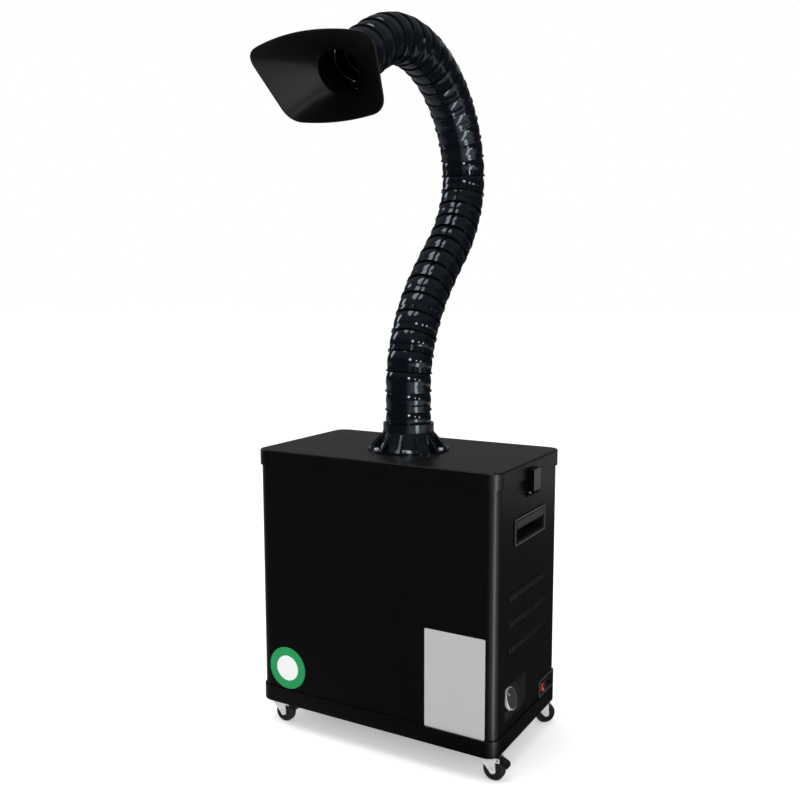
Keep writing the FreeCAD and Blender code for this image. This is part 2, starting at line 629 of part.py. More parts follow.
def make_controls():
    low, high = pocket_z - s.pocket_height / 2, pocket_z + s.pocket_height / 2
    skin = s.sheet_metal
    behind = side_x - skin
    half = s.pocket_width / 2
    front_y = pocket_y + half
    outer = prism("pocket_outer", [(behind, low - skin), (behind, high + skin),
                                   (side_x - s.pocket_deep - skin, high + skin),
                                   (side_x - s.pocket_shallow - skin, low - skin)],
                  s.pocket_width + 2 * skin, (0, front_y + skin, 0), "front")
    flange_half = half + s.pocket_flange
    flange = box("pocket_flange_plate", (behind - skin, pocket_y - flange_half, low - s.pocket_flange),
                 (behind, pocket_y + flange_half, high + s.pocket_flange))
    room = prism("pocket_room", [(side_x + over, low), (side_x + over, high), (side_x - s.pocket_deep, high),
                                 (side_x - s.pocket_shallow, low)], s.pocket_width, (0, front_y, 0), "front")
    spindle_way = s.spindle_radius + s.pin_gap
    hole = tilt_out(lathe("pocket_hole", [(0, -s.pocket_shallow), (spindle_way, -s.pocket_shallow),
                                          (spindle_way, s.pocket_shallow), (0, s.pocket_shallow)]))
    node(cut("control_pocket", fuse("pocket_solid", [outer, flange]), [room, hole]))
    back = -skin * (1 / math.cos(slant))
    spindle = s.spindle_radius
    deep = back - s.regulator_height
    node(tilt_out(lathe("speed_regulator", [
        (spindle + s.pin_gap, deep + s.sheet_metal), (spindle + s.pin_gap, back), (s.regulator_radius, back),
        (s.regulator_radius, deep), (0, deep), (0, deep + s.sheet_metal)])))
    foot = s.free_gap
    crown = foot + s.knob_height
    cap_radius = s.knob_radius - s.knob_rim
    node(tilt_out(lathe("speed_knob", [
        (0, deep + s.sheet_metal + s.seat_gap), (spindle, deep + s.sheet_metal + s.seat_gap), (spindle, foot),
        (s.knob_radius, foot), (s.knob_radius, foot + s.knob_height * 0.3),
        (s.knob_radius - s.knob_rim / 2, crown), (cap_radius, crown),
        (cap_radius, crown - s.knob_cap_thick), (0, crown - s.knob_cap_thick)])))
    node(tilt_out(lathe("knob_cap", [
        (0, crown - s.knob_cap_thick), (cap_radius - s.seat_gap, crown - s.knob_cap_thick),
        (cap_radius - s.seat_gap, crown), (cap_radius - s.knob_rim, crown + s.knob_cap_thick / 2),
        (0, crown + s.knob_cap_thick / 2)])))


def make_inlet():
    face = side_x + s.inlet_plate
    socket_y = s.inlet_back + s.socket_shift
    rocker_y = s.inlet_back - s.rocker_shift
    plate = box("inlet_plate_sheet", (side_x, s.inlet_back - s.inlet_width / 2, inlet_z - s.inlet_height / 2),
                (face, s.inlet_back + s.inlet_width / 2, inlet_z + s.inlet_height / 2))
    case = box("inlet_case", (side_x - s.inlet_depth, s.inlet_back - inlet_box_width / 2,
                              inlet_z - inlet_box_height / 2),
               (side_x, s.inlet_back + inlet_box_width / 2, inlet_z + inlet_box_height / 2))
    back = face - s.socket_depth
    room = box("inlet_socket", (back, socket_y - s.socket_width / 2, inlet_z - s.socket_height / 2),
               (face + over, socket_y + s.socket_width / 2, inlet_z + s.socket_height / 2))
    rocker_room = box("inlet_rocker_room",
                      (face - 2 * s.rocker_depth - s.free_gap, rocker_y - s.rocker_width / 2 - s.seat_gap,
                       inlet_z - s.rocker_height / 2 - s.free_gap),
                      (face + over, rocker_y + s.rocker_width / 2 + s.seat_gap,
                       inlet_z + s.rocker_height / 2 + s.free_gap))
    pivot_x = face - s.rocker_depth
    pin_length = s.rocker_width + 2 * s.rocker_pin + 2 * s.seat_gap
    pin_hole = cylinder("inlet_pin_hole", s.rocker_pin + s.pin_gap, pin_length + 2 * s.seat_gap,
                        (pivot_x, rocker_y + pin_length / 2 + s.seat_gap, inlet_z), "front")
    node(cut("power_inlet", fuse("inlet_solid", [plate, case]), [room, rocker_room, pin_hole]))
    pins = []
    for i, (spread, step) in enumerate(((-1, -1), (0, 1), (1, -1))):
        y = socket_y + spread * s.pin_spread
        z = inlet_z + step * s.pin_step
        pins.append(box("inlet_pin_%d" % i, (back, y - s.pin_thick / 2, z - s.pin_width / 2),
                        (back + s.pin_length, y + s.pin_thick / 2, z + s.pin_width / 2)))
    node(group("inlet_pins", pins))
    half = s.rocker_height / 2
    crest = s.rocker_depth + s.rocker_bow
    rocker = prism("rocker_body", [(-s.rocker_depth * 0.7, -half * 0.55), (crest, -half),
                                   (s.rocker_depth, 0), (crest, half),
                                   (-s.rocker_depth * 0.7, half * 0.55)], s.rocker_width,
                   (0, s.rocker_width / 2, 0), "front")
    pin = cylinder("rocker_pivot", s.rocker_pin, pin_length, (0, pin_length / 2, 0), "front")
    whole = fuse("rocker_whole", [rocker, pin])
    doc.recompute()
    node(copied("power_switch", whole.Shape, FreeCAD.Placement(
        FreeCAD.Vector(pivot_x.value, rocker_y.value, inlet_z.value),
        FreeCAD.Rotation(along_y, -s.rocker_tilt.value))))


def make_latches():
    """Levers on two-eared brackets: each presses its nose on the lid's skirt."""
    lever_in = s.lid_width / 2 + s.free_gap
    pivot_x = side_x + s.latch_plate + s.latch_round + s.free_gap
    pivot_z = skirt_low - s.latch_drop + s.latch_foot
    half = s.latch_width / 2
    top = skirt_low + s.latch_reach
    outer_x = lever_in + s.latch_thick
    low = pivot_z - s.latch_round
    crown = [(lever_in + s.latch_thick * math.cos(a), top - s.latch_thick + s.latch_thick * math.sin(a))
             for a in (math.radians(15 * i) for i in range(7))]
    lever = prism("latch_lever_body", [
        (pivot_x - s.latch_round, low + s.latch_round), (pivot_x - s.latch_round / 2, low),
        (outer_x - s.latch_thick * 0.25, low), (outer_x, low + s.latch_foot)] + crown + [
        (lever_in, pivot_z + s.latch_foot)], s.latch_width, (0, half, 0), "front")
    pin_half = half + s.seat_gap + s.latch_plate
    pin = cylinder("latch_pivot", s.latch_pin, 2 * pin_half, (pivot_x, pin_half, pivot_z), "front")
    right = node(fuse("latch_lever_right", [lever, pin]))
    plate = box("latch_plate_sheet", (side_x, -pin_half, skirt_low - s.latch_drop),
                (side_x + s.latch_plate, pin_half, skirt_low - s.free_gap))
    ears = [prism("latch_ear_%d" % i, [
        (side_x, pivot_z - s.latch_ear), (pivot_x + s.latch_round, pivot_z - s.latch_ear / 2),
        (pivot_x + s.latch_round, pivot_z + s.latch_ear / 2), (side_x, pivot_z + s.latch_ear)],
        s.latch_plate, (0, y, 0), "front") for i, y in enumerate((pin_half, -pin_half + s.latch_plate))]
    hole = cylinder("latch_pin_hole", s.latch_pin + s.pin_gap, 2 * pin_half + 2 * over,
                    (pivot_x, pin_half + over, pivot_z), "front")
    bracket = cut("latch_bracket_right", fuse("latch_bracket_solid", [plate] + ears), [hole])
    doc.recompute()
    half_turn = FreeCAD.Placement(FreeCAD.Vector(), FreeCAD.Rotation(along_z, 180))
    node(copied("latch_lever_left", right.Shape, half_turn))
    left_bracket = copied("latch_bracket_left", bracket.Shape, half_turn)
    node(group("latch_brackets", [bracket, left_bracket]))


def make_casters():
    plate_low = s.caster_height - s.caster_plate_thick
    race_low = plate_low - s.raceway_height
    fork_top = race_low - s.seat_gap
    web_low = fork_top - s.fork_sheet
    gap_half = s.wheel_width / 2 + s.free_gap
    outer_half = gap_half + s.fork_sheet
    axle_z = s.wheel_radius
    pin_low = web_low - s.seat_gap - s.kingpin_head_height
    plate = prism("caster_plate_sheet", rect(s.caster_plate, s.caster_plate), s.caster_plate_thick,
                  (0, 0, plate_low),
                  holes=[(sx * s.bolt_spread / 2, sy * s.bolt_spread / 2, s.bolt_radius + s.seat_gap)
                         for sx, sy in caster_bolts_each])
    race = cylinder("caster_race", s.raceway_radius, s.raceway_height, (0, 0, race_low))
    kingpin = cylinder("caster_kingpin", s.kingpin_radius, race_low - pin_low, (0, 0, pin_low))
    rivet = cylinder("caster_rivet", s.kingpin_head, s.kingpin_head_height, (0, 0, pin_low))
    head = fuse("caster_head", [plate, race, kingpin, rivet])

    back_x = s.trail + s.axle_head
    ear_x = s.trail + s.brake_x
    ear_z = axle_z + s.brake_z
    ear = s.brake_pin * 2.2
    web = box("fork_web", (-s.fork_front, -outer_half, web_low), (back_x, outer_half, fork_top))
    disc = cylinder("fork_disc", s.fork_front, s.fork_sheet, (0, 0, web_low))
    cheek_line = [(-s.fork_front, fork_top), (back_x, fork_top),
                  (back_x + s.fork_sheet / 2, axle_z - s.axle_head * 0.6),
                  (s.trail + s.axle_head / 4, axle_z - s.axle_head * 1.2),
                  (s.trail - s.axle_head * 0.9, axle_z - s.axle_head * 0.8)]
    brake_line = [(s.trail, fork_top), (ear_x + ear, fork_top),
                  (ear_x + ear, ear_z - ear), (s.trail, ear_z - ear)]

    def cheeks(name, line):
        return [prism("%s_%d" % (name, i), line, s.fork_sheet, (0, y, 0), "front")
                for i, y in enumerate((outer_half, -gap_half))]

    axle = cylinder("fork_axle", s.axle_radius, 2 * outer_half, (s.trail, outer_half, axle_z), "front")
    heads = [cylinder("fork_axle_head_%d" % i, s.axle_head, s.axle_head_height, (s.trail, y, axle_z), "front")
             for i, y in enumerate((outer_half + s.axle_head_height, -outer_half))]
    way = cylinder("fork_kingpin_way", s.kingpin_radius + s.pin_gap, 2 * s.fork_sheet + 2 * over,
                   (0, 0, web_low - over))
    plain_solid = fuse("fork_plain_solid", [web, disc, axle] + heads + cheeks("fork_cheek", cheek_line))
    plain = cut("fork_plain", plain_solid, [way])
    brake_way = cylinder("fork_brake_way", s.brake_pin + s.pin_gap, 2 * outer_half + 2 * over,
                         (ear_x, outer_half + over, ear_z), "front")
    braked_solid = fuse("fork_braked_solid", [plain] + cheeks("fork_brake_ear", brake_line))
    braked = cut("fork_braked", braked_solid, [brake_way])

    half = s.wheel_width / 2
    dish = half - s.wheel_dish
    tyre = s.wheel_radius
    wall = [(s.axle_radius + s.pin_gap, half), (s.hub_radius, half), (s.hub_radius + s.wheel_dish / 2, dish),
            (tyre * 0.7, dish), (tyre * 0.76, half), (tyre * 0.91, half), (tyre, half * 0.6)]
    wheel = lathe("caster_wheel", [(r, -z) for r, z in wall] + list(reversed(wall)))

    lever_half = gap_half - s.seat_gap
    lever_z = ear_z + s.brake_pin
    tab_x = s.trail + tyre + s.brake_standoff
    tab_low = axle_z + tyre * 0.46
    tab_high = axle_z + tyre * 0.74
    lever = prism("brake_body", [
        (ear_x - s.brake_pin, lever_z), (ear_x - s.brake_pin, lever_z - s.brake_thick),
        (ear_x + ear, ear_z - s.brake_pin),
        (tab_x - s.brake_thick / 2, tab_high), (tab_x, tab_low), (tab_x + s.brake_thick, tab_low),
        (tab_x + s.brake_thick * 0.8, tab_high + s.brake_thick / 2),
        (ear_x + ear + s.brake_thick / 2, lever_z)],
        2 * lever_half, (0, lever_half, 0), "front")
    brake_pin = cylinder("brake_pivot", s.brake_pin, 2 * outer_half, (ear_x, outer_half, ear_z), "front")
    brake = fuse("brake_whole", [lever, brake_pin])
    doc.recompute()

    plates = []
    bolts = []
    for name, x, y in caster_places():
        spot = FreeCAD.Vector(x.value, y.value, 0)
        turned = FreeCAD.Placement(spot, FreeCAD.Rotation(along_z, caster_turns[name]))
        plates.append(copied("caster_head_" + name, head.Shape, FreeCAD.Placement(spot, FreeCAD.Rotation())))
        has_brake = name.startswith("front")
        node(copied("caster_fork_" + name, (braked if has_brake else plain).Shape, turned))
        hub = FreeCAD.Placement(FreeCAD.Vector(s.trail.value, 0, axle_z.value), turns["front"])
        node(copied("caster_wheel_" + name, wheel.Shape, turned.multiply(hub)))
        if has_brake:
            node(copied("brake_lever_" + name, brake.Shape, turned))
    node(group("caster_plates", plates))
    for name, x, y in bolt_places():
        shank_low = plate_low
        grip = tray_floor - shank_low
        bolt_head = cylinder("bolt_head_" + name, s.bolt_head, s.bolt_head_height,
                             (x, y, plate_low - s.bolt_head_height))
        shank = cylinder("bolt_shank_" + name, s.bolt_radius, grip + s.bolt_head_height * 2,
                         (x, y, shank_low))
        nut = cylinder("bolt_nut_" + name, s.bolt_head, s.bolt_head_height, (x, y, tray_floor))
        bolts.append(fuse("bolt_" + name, [bolt_head, shank, nut]))
    node(group("caster_bolts", bolts))


shelf_z = s.caster_height + s.shelf_rise
shelf_top = shelf_z + s.sheet_metal


def make_filters():
    inside_width = body_width - 2 * s.sheet_metal - 2 * s.seat_gap
    inside_depth = body_depth - 2 * s.sheet_metal - 2 * s.seat_gap
    inner_corner = s.corner_radius - s.sheet_metal - s.seat_gap
    outer = prism("shelf_outer", rect(inside_width, inside_depth), s.shelf_lip + s.sheet_metal,
                  (0, 0, shelf_z - s.shelf_lip), corner=inner_corner)
    inner = prism("shelf_inner", rect(inside_width - 2 * s.sheet_metal, inside_depth - 2 * s.sheet_metal),
                  s.shelf_lip + over, (0, 0, shelf_z - s.shelf_lip - over),
                  corner=inner_corner - s.sheet_metal)
    hole = cylinder("shelf_way", s.shelf_hole, s.shelf_lip * 2, (0, 0, shelf_z - s.shelf_lip))
    node(cut("filter_shelf", outer, [inner, hole]))
    level = shelf_top
    frame = s.filter_frame
    for name, height in (("carbon_filter", s.carbon_height), ("fine_filter", s.fine_height),
                         ("prefilter", s.prefilter_height)):
        cassette = prism(name + "_cassette", rect(s.filter_width, s.filter_depth), height, (0, 0, level))
        face = rect(s.filter_width - 2 * frame, s.filter_depth - 2 * frame)
        low = prism(name + "_low", face, s.filter_dish, (0, 0, level))
        high = prism(name + "_high", face, s.filter_dish + over, (0, 0, level + height - s.filter_dish))
        node(cut(name, cassette, [low, high]))
        level = level + height


def make_blower():
    top = shelf_z
    low = top - s.scroll_height
    wall = s.scroll_wall
    drum = cylinder("scroll_drum", s.scroll_radius, s.scroll_height, (0, 0, low))
    out_low_y = s.scroll_radius - s.outlet_width
    spout = box("scroll_spout", (0, out_low_y, low), (s.outlet_reach, s.scroll_radius, top))
    room = cylinder("scroll_room", s.scroll_radius - wall, s.scroll_height - 2 * wall, (0, 0, low + wall))
    spout_room = box("scroll_spout_room", (0, out_low_y + wall, low + wall),
                     (s.outlet_reach + over, s.scroll_radius - wall, top - wall))
    eye = cylinder("scroll_eye", s.shelf_hole, s.scroll_height, (0, 0, top - wall - over))
    boss = s.motor_boss
    motor_way = cylinder("scroll_motor_way", boss + s.seat_gap, 2 * wall + 2 * over, (0, 0, low - over))
    node(cut("blower_housing", fuse("scroll_solid", [drum, spout]), [room, spout_room, eye, motor_way]))
    shaft_way = s.shaft_radius + s.pin_gap
    node(lathe("blower_motor", [
        (shaft_way, -s.motor_height + wall), (shaft_way, wall), (boss, wall), (boss, 0),
        (s.motor_radius, 0), (s.motor_radius, -s.motor_height * 0.9), (s.motor_radius * 0.8, -s.motor_height),
        (0, -s.motor_height), (0, -s.motor_height + wall)], (0, 0, low)))
    plate_low = low + wall + s.impeller_clear
    hub_top = plate_low + s.blade_height * 0.6
    node(cylinder("motor_shaft", s.shaft_radius, hub_top - low + s.motor_height - wall - s.seat_gap,
                  (0, 0, low - s.motor_height + wall + s.seat_gap)))
    bore = s.shaft_radius + s.pin_gap / 2
    hub = lathe("impeller_hub", [
        (bore, plate_low), (s.wheel_of_blades, plate_low), (s.wheel_of_blades, plate_low + s.blade_plate),
        (s.blade_hub * 1.5, plate_low + s.blade_plate), (s.blade_hub, hub_top), (bore, hub_top)])
    ring_in = s.wheel_of_blades - s.blade_length
    blade_top = plate_low + s.blade_height
    rim = lathe("impeller_rim", [
        (ring_in, blade_top - s.blade_plate), (s.wheel_of_blades, blade_top - s.blade_plate),
        (s.wheel_of_blades, blade_top), (ring_in, blade_top)])
    doc.recompute()
    inset = s.blade_thick.value / 2
    blade = Part.makeBox(s.blade_length.value - 2 * inset, s.blade_thick.value,
                         (s.blade_height - s.blade_plate).value,
                         FreeCAD.Vector(ring_in.value + inset, 0, (plate_low + s.blade_plate / 2).value))
    blades = [blade.rotated(FreeCAD.Vector(), FreeCAD.Vector(0, 0, 1), 360.0 * i / blade_count)
              for i in range(blade_count)]
    wheel = hub.Shape.fuse([rim.Shape] + blades).removeSplitter()
    node(copied("blower_impeller", wheel, FreeCAD.Placement()))


def make_board():
    low = tray_floor + s.board_post
    middle_y = -s.board_y
    board = prism("board_plate", rect(s.board_width, s.board_depth, s.board_x, middle_y),
                  s.board_thick, (0, 0, low))
    parts = [board]
    for i, (sx, sy) in enumerate(caster_bolts_each):
        x = s.board_x + sx * (s.board_width / 2 - 2 * s.board_post_radius)
        y = middle_y + sy * (s.board_depth / 2 - 2 * s.board_post_radius)
        parts.append(cylinder("board_post_%d" % i, s.board_post_radius, s.board_post, (x, y, tray_floor)))
    top = low + s.board_thick
    third = s.board_width / 3
    parts.append(box("board_transformer", (s.board_x - third, middle_y - third / 2, top),
                     (s.board_x, middle_y + third / 2, top + third * 0.8)))
    parts.append(cylinder("board_capacitor", third / 4, third * 0.7,
                          (s.board_x + third * 0.8, middle_y, top)))
    node(fuse("control_board", parts))


make_tray()
make_shell()
make_lid()
make_flange()
make_handles()
make_controls()
make_inlet()
make_latches()
make_casters()
make_filters()
make_blower()
make_board()
make_arm()
doc.recompute()

for item in doc.Objects:
    if "Invalid" in item.State or "Error" in item.State:
        raise RuntimeError("failed object: " + item.Name)
for name, item in nodes.items():
    if item.Shape.isNull() or not item.Shape.isValid() or not item.Shape.Solids:
        raise RuntimeError("bad shape: " + name)

os.makedirs("parts", exist_ok=True)
for name, item in nodes.items():
    item.Shape.exportStep("parts/" + name + ".step")
print(len(nodes), "nodes written")
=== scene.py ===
import json
import math

import bmesh
import bpy
from mathutils import Matrix, Vector


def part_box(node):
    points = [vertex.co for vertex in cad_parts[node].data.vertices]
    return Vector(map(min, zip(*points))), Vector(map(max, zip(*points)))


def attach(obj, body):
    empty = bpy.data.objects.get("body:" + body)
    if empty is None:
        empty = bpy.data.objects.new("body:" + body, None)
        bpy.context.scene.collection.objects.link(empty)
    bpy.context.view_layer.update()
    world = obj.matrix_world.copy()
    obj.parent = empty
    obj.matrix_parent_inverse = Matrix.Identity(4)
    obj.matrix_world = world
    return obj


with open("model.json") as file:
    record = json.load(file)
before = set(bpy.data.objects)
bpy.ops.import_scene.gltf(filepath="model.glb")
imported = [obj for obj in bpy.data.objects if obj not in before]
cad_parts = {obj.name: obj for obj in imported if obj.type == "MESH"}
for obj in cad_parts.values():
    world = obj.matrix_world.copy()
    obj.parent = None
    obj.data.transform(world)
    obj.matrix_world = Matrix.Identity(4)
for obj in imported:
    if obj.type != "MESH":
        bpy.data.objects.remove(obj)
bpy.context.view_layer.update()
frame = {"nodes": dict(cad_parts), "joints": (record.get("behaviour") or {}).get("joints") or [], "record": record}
nodes = frame["nodes"]
joints = {joint["name"]: joint for joint in frame["joints"]}
mm = 0.001
print("stage: frame loaded,", len(nodes), "nodes")


def addNode(tree, kind, at, **sockets):
    item = tree.nodes.new(kind)
    item.location = at
    for key, value in sockets.items():
        item.inputs[key].default_value = value
    return item


# Finishes: each has its own grain, and a colour and gloss that drift over the surface
surface = {"cloudDetail": 4.0, "cloudRough": 0.6, "grainDetail": 2.0, "grainRough": 0.5, "bump": 0.6,
           "leastRough": 0.02, "edgeSamples": 4}


def makeMaterial(name, colour, rough, metallic=0.0, grain=900.0, grainDepth=0.00005, cloud=14.0, tone=0.25,
                 gloss=0.12, specular=0.5, tint=(1.0, 1.0, 1.0), edge=0.0, dust=0.0):
    made = bpy.data.materials.new(name)
    made.use_nodes = True
    tree = made.node_tree
    tree.nodes.clear()
    out = addNode(tree, "ShaderNodeOutputMaterial", (900, 0))
    shader = addNode(tree, "ShaderNodeBsdfPrincipled", (600, 0))
    shader.inputs["Metallic"].default_value = metallic
    shader.inputs["Specular IOR Level"].default_value = specular
    shader.inputs["Specular Tint"].default_value = (*tint, 1.0)
    tree.links.new(shader.outputs["BSDF"], out.inputs["Surface"])

    place = addNode(tree, "ShaderNodeTexCoord", (-900, 0))
    clouds = addNode(tree, "ShaderNodeTexNoise", (-450, 200), Scale=cloud, Detail=surface["cloudDetail"],
                     Roughness=surface["cloudRough"])
    fine = addNode(tree, "ShaderNodeTexNoise", (-450, -250), Scale=grain, Detail=surface["grainDetail"],
                   Roughness=surface["grainRough"])
    tree.links.new(place.outputs["Object"], clouds.inputs["Vector"])
    tree.links.new(place.outputs["Object"], fine.inputs["Vector"])

    # Colour from a darker tone to a lighter, dustier one
    tones = addNode(tree, "ShaderNodeMix", (-100, 200))
    tones.data_type = "RGBA"
    low = tuple(c * (1.0 - tone) for c in colour)
    high = tuple(min(1.0, c * (1.0 + tone) + dust) for c in colour)
    tones.inputs["A"].default_value = (*low, 1.0)
    tones.inputs["B"].default_value = (*high, 1.0)
    tree.links.new(clouds.outputs["Fac"], tones.inputs["Factor"])
    tree.links.new(tones.outputs["Result"], shader.inputs["Base Color"])

    roughness = addNode(tree, "ShaderNodeMapRange", (-100, -50))
    roughness.inputs["To Min"].default_value = max(surface["leastRough"], rough - gloss)
    roughness.inputs["To Max"].default_value = min(1.0, rough + gloss)
    tree.links.new(clouds.outputs["Fac"], roughness.inputs["Value"])
    tree.links.new(roughness.outputs["Result"], shader.inputs["Roughness"])

    bump = addNode(tree, "ShaderNodeBump", (250, -300), Strength=surface["bump"], Distance=grainDepth)
    tree.links.new(fine.outputs["Fac"], bump.inputs["Height"])
    if edge > 0.0:
        soft = addNode(tree, "ShaderNodeBevel", (0, -420), Radius=edge)
        soft.samples = surface["edgeSamples"]
        tree.links.new(soft.outputs["Normal"], bump.inputs["Normal"])
    tree.links.new(bump.outputs["Normal"], shader.inputs["Normal"])
    return made


materials = {
    # Painted sheet: cabinet, then lid and tray
    "powder": makeMaterial("powderCoat", (0.0018, 0.0018, 0.0019), 0.32, grain=1500, grainDepth=0.00003,
                           gloss=0.05, specular=0.42, edge=0.0008),
    "trim": makeMaterial("trimCoat", (0.0008, 0.0008, 0.0009), 0.34, grain=1500, grainDepth=0.00003,
                         gloss=0.04, specular=0.5, edge=0.0008),
    # Arm and hood
    "duct": makeMaterial("ductGloss", (0.0018, 0.0028, 0.0050), 0.12, grain=500, grainDepth=0.00002, cloud=30,
                         gloss=0.05, specular=0.7, tint=(0.74, 0.88, 1.0), dust=0.0008),
    "hood": makeMaterial("hoodMatt", (0.0034, 0.0034, 0.0034), 0.42, grain=1300, grainDepth=0.00006,
                         specular=0.3),
    "throat": makeMaterial("throatMatt", (0.0020, 0.0020, 0.0020), 0.6, grain=1300, specular=0.12),
    # Moulded plastics
    "moulded": makeMaterial("mouldedBlack", (0.006, 0.006, 0.006), 0.45, grain=1600, grainDepth=0.00006,
                            specular=0.4, edge=0.0005),
    # Control pocket's slanted panel: a lighter grey that is painted light, standing in for the light its upward
    # tilt catches
    "panel": makeMaterial("pocketPanelPaintedLight", (0.020, 0.020, 0.0205), 0.42, grain=1400, edge=0.0006),
    "bezel": makeMaterial("bezelGrey", (0.013, 0.013, 0.0135), 0.35, grain=1400, grainDepth=0.00004,
                          edge=0.0006),
    "grip": makeMaterial("gripGrey", (0.030, 0.030, 0.031), 0.4, grain=1600, edge=0.0004),
    # Pale grey for the outlines round the inlet and handle bezels: a painted highlight on their edges
    "line": makeMaterial("edgeHighlightGrey", (0.09, 0.09, 0.092), 0.4, grain=1400, cloud=40, tone=0.15),
    "red": makeMaterial("rockerRed", (0.36, 0.014, 0.010), 0.25, grain=500, grainDepth=0.00002, edge=0.0006),
    "wheel": makeMaterial("wheelRubber", (0.012, 0.012, 0.012), 0.55, grain=800, grainDepth=0.0001,
                          dust=0.01),
    "foam": makeMaterial("sealFoam", (0.015, 0.015, 0.015), 0.9, grain=2200, grainDepth=0.0003),
    # Metals
    "zinc": makeMaterial("brightZinc", (0.82, 0.83, 0.85), 0.32, metallic=0.3, grain=600, cloud=60, tone=0.15,
                         edge=0.0003),
    "zincDark": makeMaterial("darkZinc", (0.16, 0.16, 0.17), 0.35, metallic=0.8, cloud=90, tone=0.2),
    "latch": makeMaterial("latchPaint", (0.0015, 0.0015, 0.0015), 0.4, grain=1200, specular=0.12,
                          edge=0.0006),
    # Lighter grey for the plate on the latch lever's outward face: painted light on that side
    "latchPaintedHighlight": makeMaterial("latchPaintedHighlight", (0.035, 0.035, 0.036), 0.3, grain=1200, edge=0.0006),
    "silver": makeMaterial("spunSilver", (0.05, 0.05, 0.051), 0.4, metallic=0.3, grain=1500, cloud=40,
                           tone=0.1),
    "chrome": makeMaterial("chromeRing", (0.85, 0.85, 0.86), 0.2, metallic=0.35, grain=700, cloud=60,
                           tone=0.06),
    "brass": makeMaterial("pinBrass", (0.62, 0.47, 0.22), 0.3, metallic=1.0, cloud=80, tone=0.2),
    "galvanised": makeMaterial("galvanised", (0.45, 0.46, 0.47), 0.42, metallic=1.0, cloud=55, tone=0.3,
                               gloss=0.15),
    # Inside the cabinet
    "media": makeMaterial("filterMedia", (0.62, 0.61, 0.57), 0.95, grain=1800, grainDepth=0.0004, tone=0.12,
                          dust=0.02),
    "motor": makeMaterial("motorPaint", (0.03, 0.03, 0.033), 0.4),
    "board": makeMaterial("boardGreen", (0.012, 0.09, 0.035), 0.35, cloud=90, tone=0.3),
    # Printed things
    "card": makeMaterial("placardGrey", (0.43, 0.43, 0.43), 0.5, grain=1500, grainDepth=0.00002, cloud=30,
                         tone=0.05),
    "green": makeMaterial("discGreen", (0.004, 0.30, 0.085), 0.4, grain=1500, grainDepth=0.00002, cloud=40,
                          tone=0.12),
    "pale": makeMaterial("discPale", (0.80, 0.84, 0.82), 0.45, cloud=40, tone=0.06),
    "tick": makeMaterial("tickGrey", (0.12, 0.12, 0.12), 0.5, cloud=60, tone=0.1),
    "mark": makeMaterial("markWhite", (0.5, 0.5, 0.5), 0.5, cloud=60, tone=0.1),
}
slotMaterial = {
    "powder_black": "powder", "duct_black": "duct", "hood_black": "hood", "moulded_black": "moulded",
    "wheel_black": "wheel", "zinc": "zinc", "latch_steel": "latch", "spun_silver": "silver",
    "seal_foam": "foam", "rocker_red": "red", "pin_brass": "brass", "galvanised": "galvanised",
    "filter_media": "media", "motor_paint": "motor", "board_green": "board",
}
# The control pocket's lighter grey is painted light on its tilted panel
nodeMaterial = {"control_pocket": "panel", "power_inlet": "bezel", "lid": "trim", "base_tray": "trim"}
for entry in frame["record"]["subparts"]:
    node = nodes[entry["node"]]
    node.data.materials.clear()
    chosen = nodeMaterial.get(entry["node"], slotMaterial[entry["material_slot"]])
    node.data.materials.append(materials[chosen])
print("stage: materials,", len(materials), "finishes")


# Trim too thin or too small for the solids
class Shape:
    def __init__(self):
        self.vertices = []
        self.faces = []

    def add(self, vertices, faces, place=None):
        start = len(self.vertices)
        for v in vertices:
            v = Vector(v)
            self.vertices.append(place @ v if place is not None else v)
        self.faces += [tuple(i + start for i in face) for face in faces]

    def prism(self, outline, low, high, place=None):
        count = len(outline)
        vertices = [(x, y, low) for x, y in outline] + [(x, y, high) for x, y in outline]
        faces = [tuple(reversed(range(count))), tuple(range(count, 2 * count))]
        faces += [(i, (i + 1) % count, count + (i + 1) % count, count + i) for i in range(count)]
        self.add(vertices, faces, place)

    # A prism with a hole of as many points as its outline
    def border(self, outer, inner, low, high, place=None):
        count = len(outer)
        vertices = [(x, y, z) for z in (low, high) for line in (outer, inner) for x, y in line]
        faces = []
        for i in range(count):
            j = (i + 1) % count
            for a, b in ((0, 1), (2, 3), (0, 2), (1, 3)):
                faces.append((a * count + i, a * count + j, b * count + j, b * count + i))
        self.add(vertices, faces, place)

    # A profile of radius and height, turned about z
    def lathe(self, profile, place=None, steps=48):
        count = len(profile)
        vertices = []
        faces = []
        for i in range(steps):
            a = 2 * math.pi * i / steps
            vertices += [(r * math.cos(a), r * math.sin(a), z) for r, z in profile]
            here, there = i * count, (i + 1) % steps * count
            faces += [(here + k, there + k, there + k + 1, here + k + 1) for k in range(count - 1)]
        self.add(vertices, faces, place)


def addPiece(name, shape, material, body, bevel=0.0, smooth=False):
    mesh = bpy.data.meshes.new(name)
    mesh.from_pydata([tuple(v) for v in shape.vertices], [], shape.faces)
    fixer = bmesh.new()
    fixer.from_mesh(mesh)
    bmesh.ops.recalc_face_normals(fixer, faces=fixer.faces)
    fixer.to_mesh(mesh)
    fixer.free()
    piece = bpy.data.objects.new(name, mesh)
    bpy.context.scene.collection.objects.link(piece)
    mesh.materials.append(materials[material])
    if smooth:
        mesh.shade_smooth()
    if bevel > 0.0:
        rounding = piece.modifiers.new("edges", "BEVEL")
        rounding.width = bevel
        rounding.segments = 2
        rounding.limit_method = "ANGLE"
    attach(piece, body)
    return piece


def rectangle(left, right, low, high):
    return [(left, low), (right, low), (right, high), (left, high)]


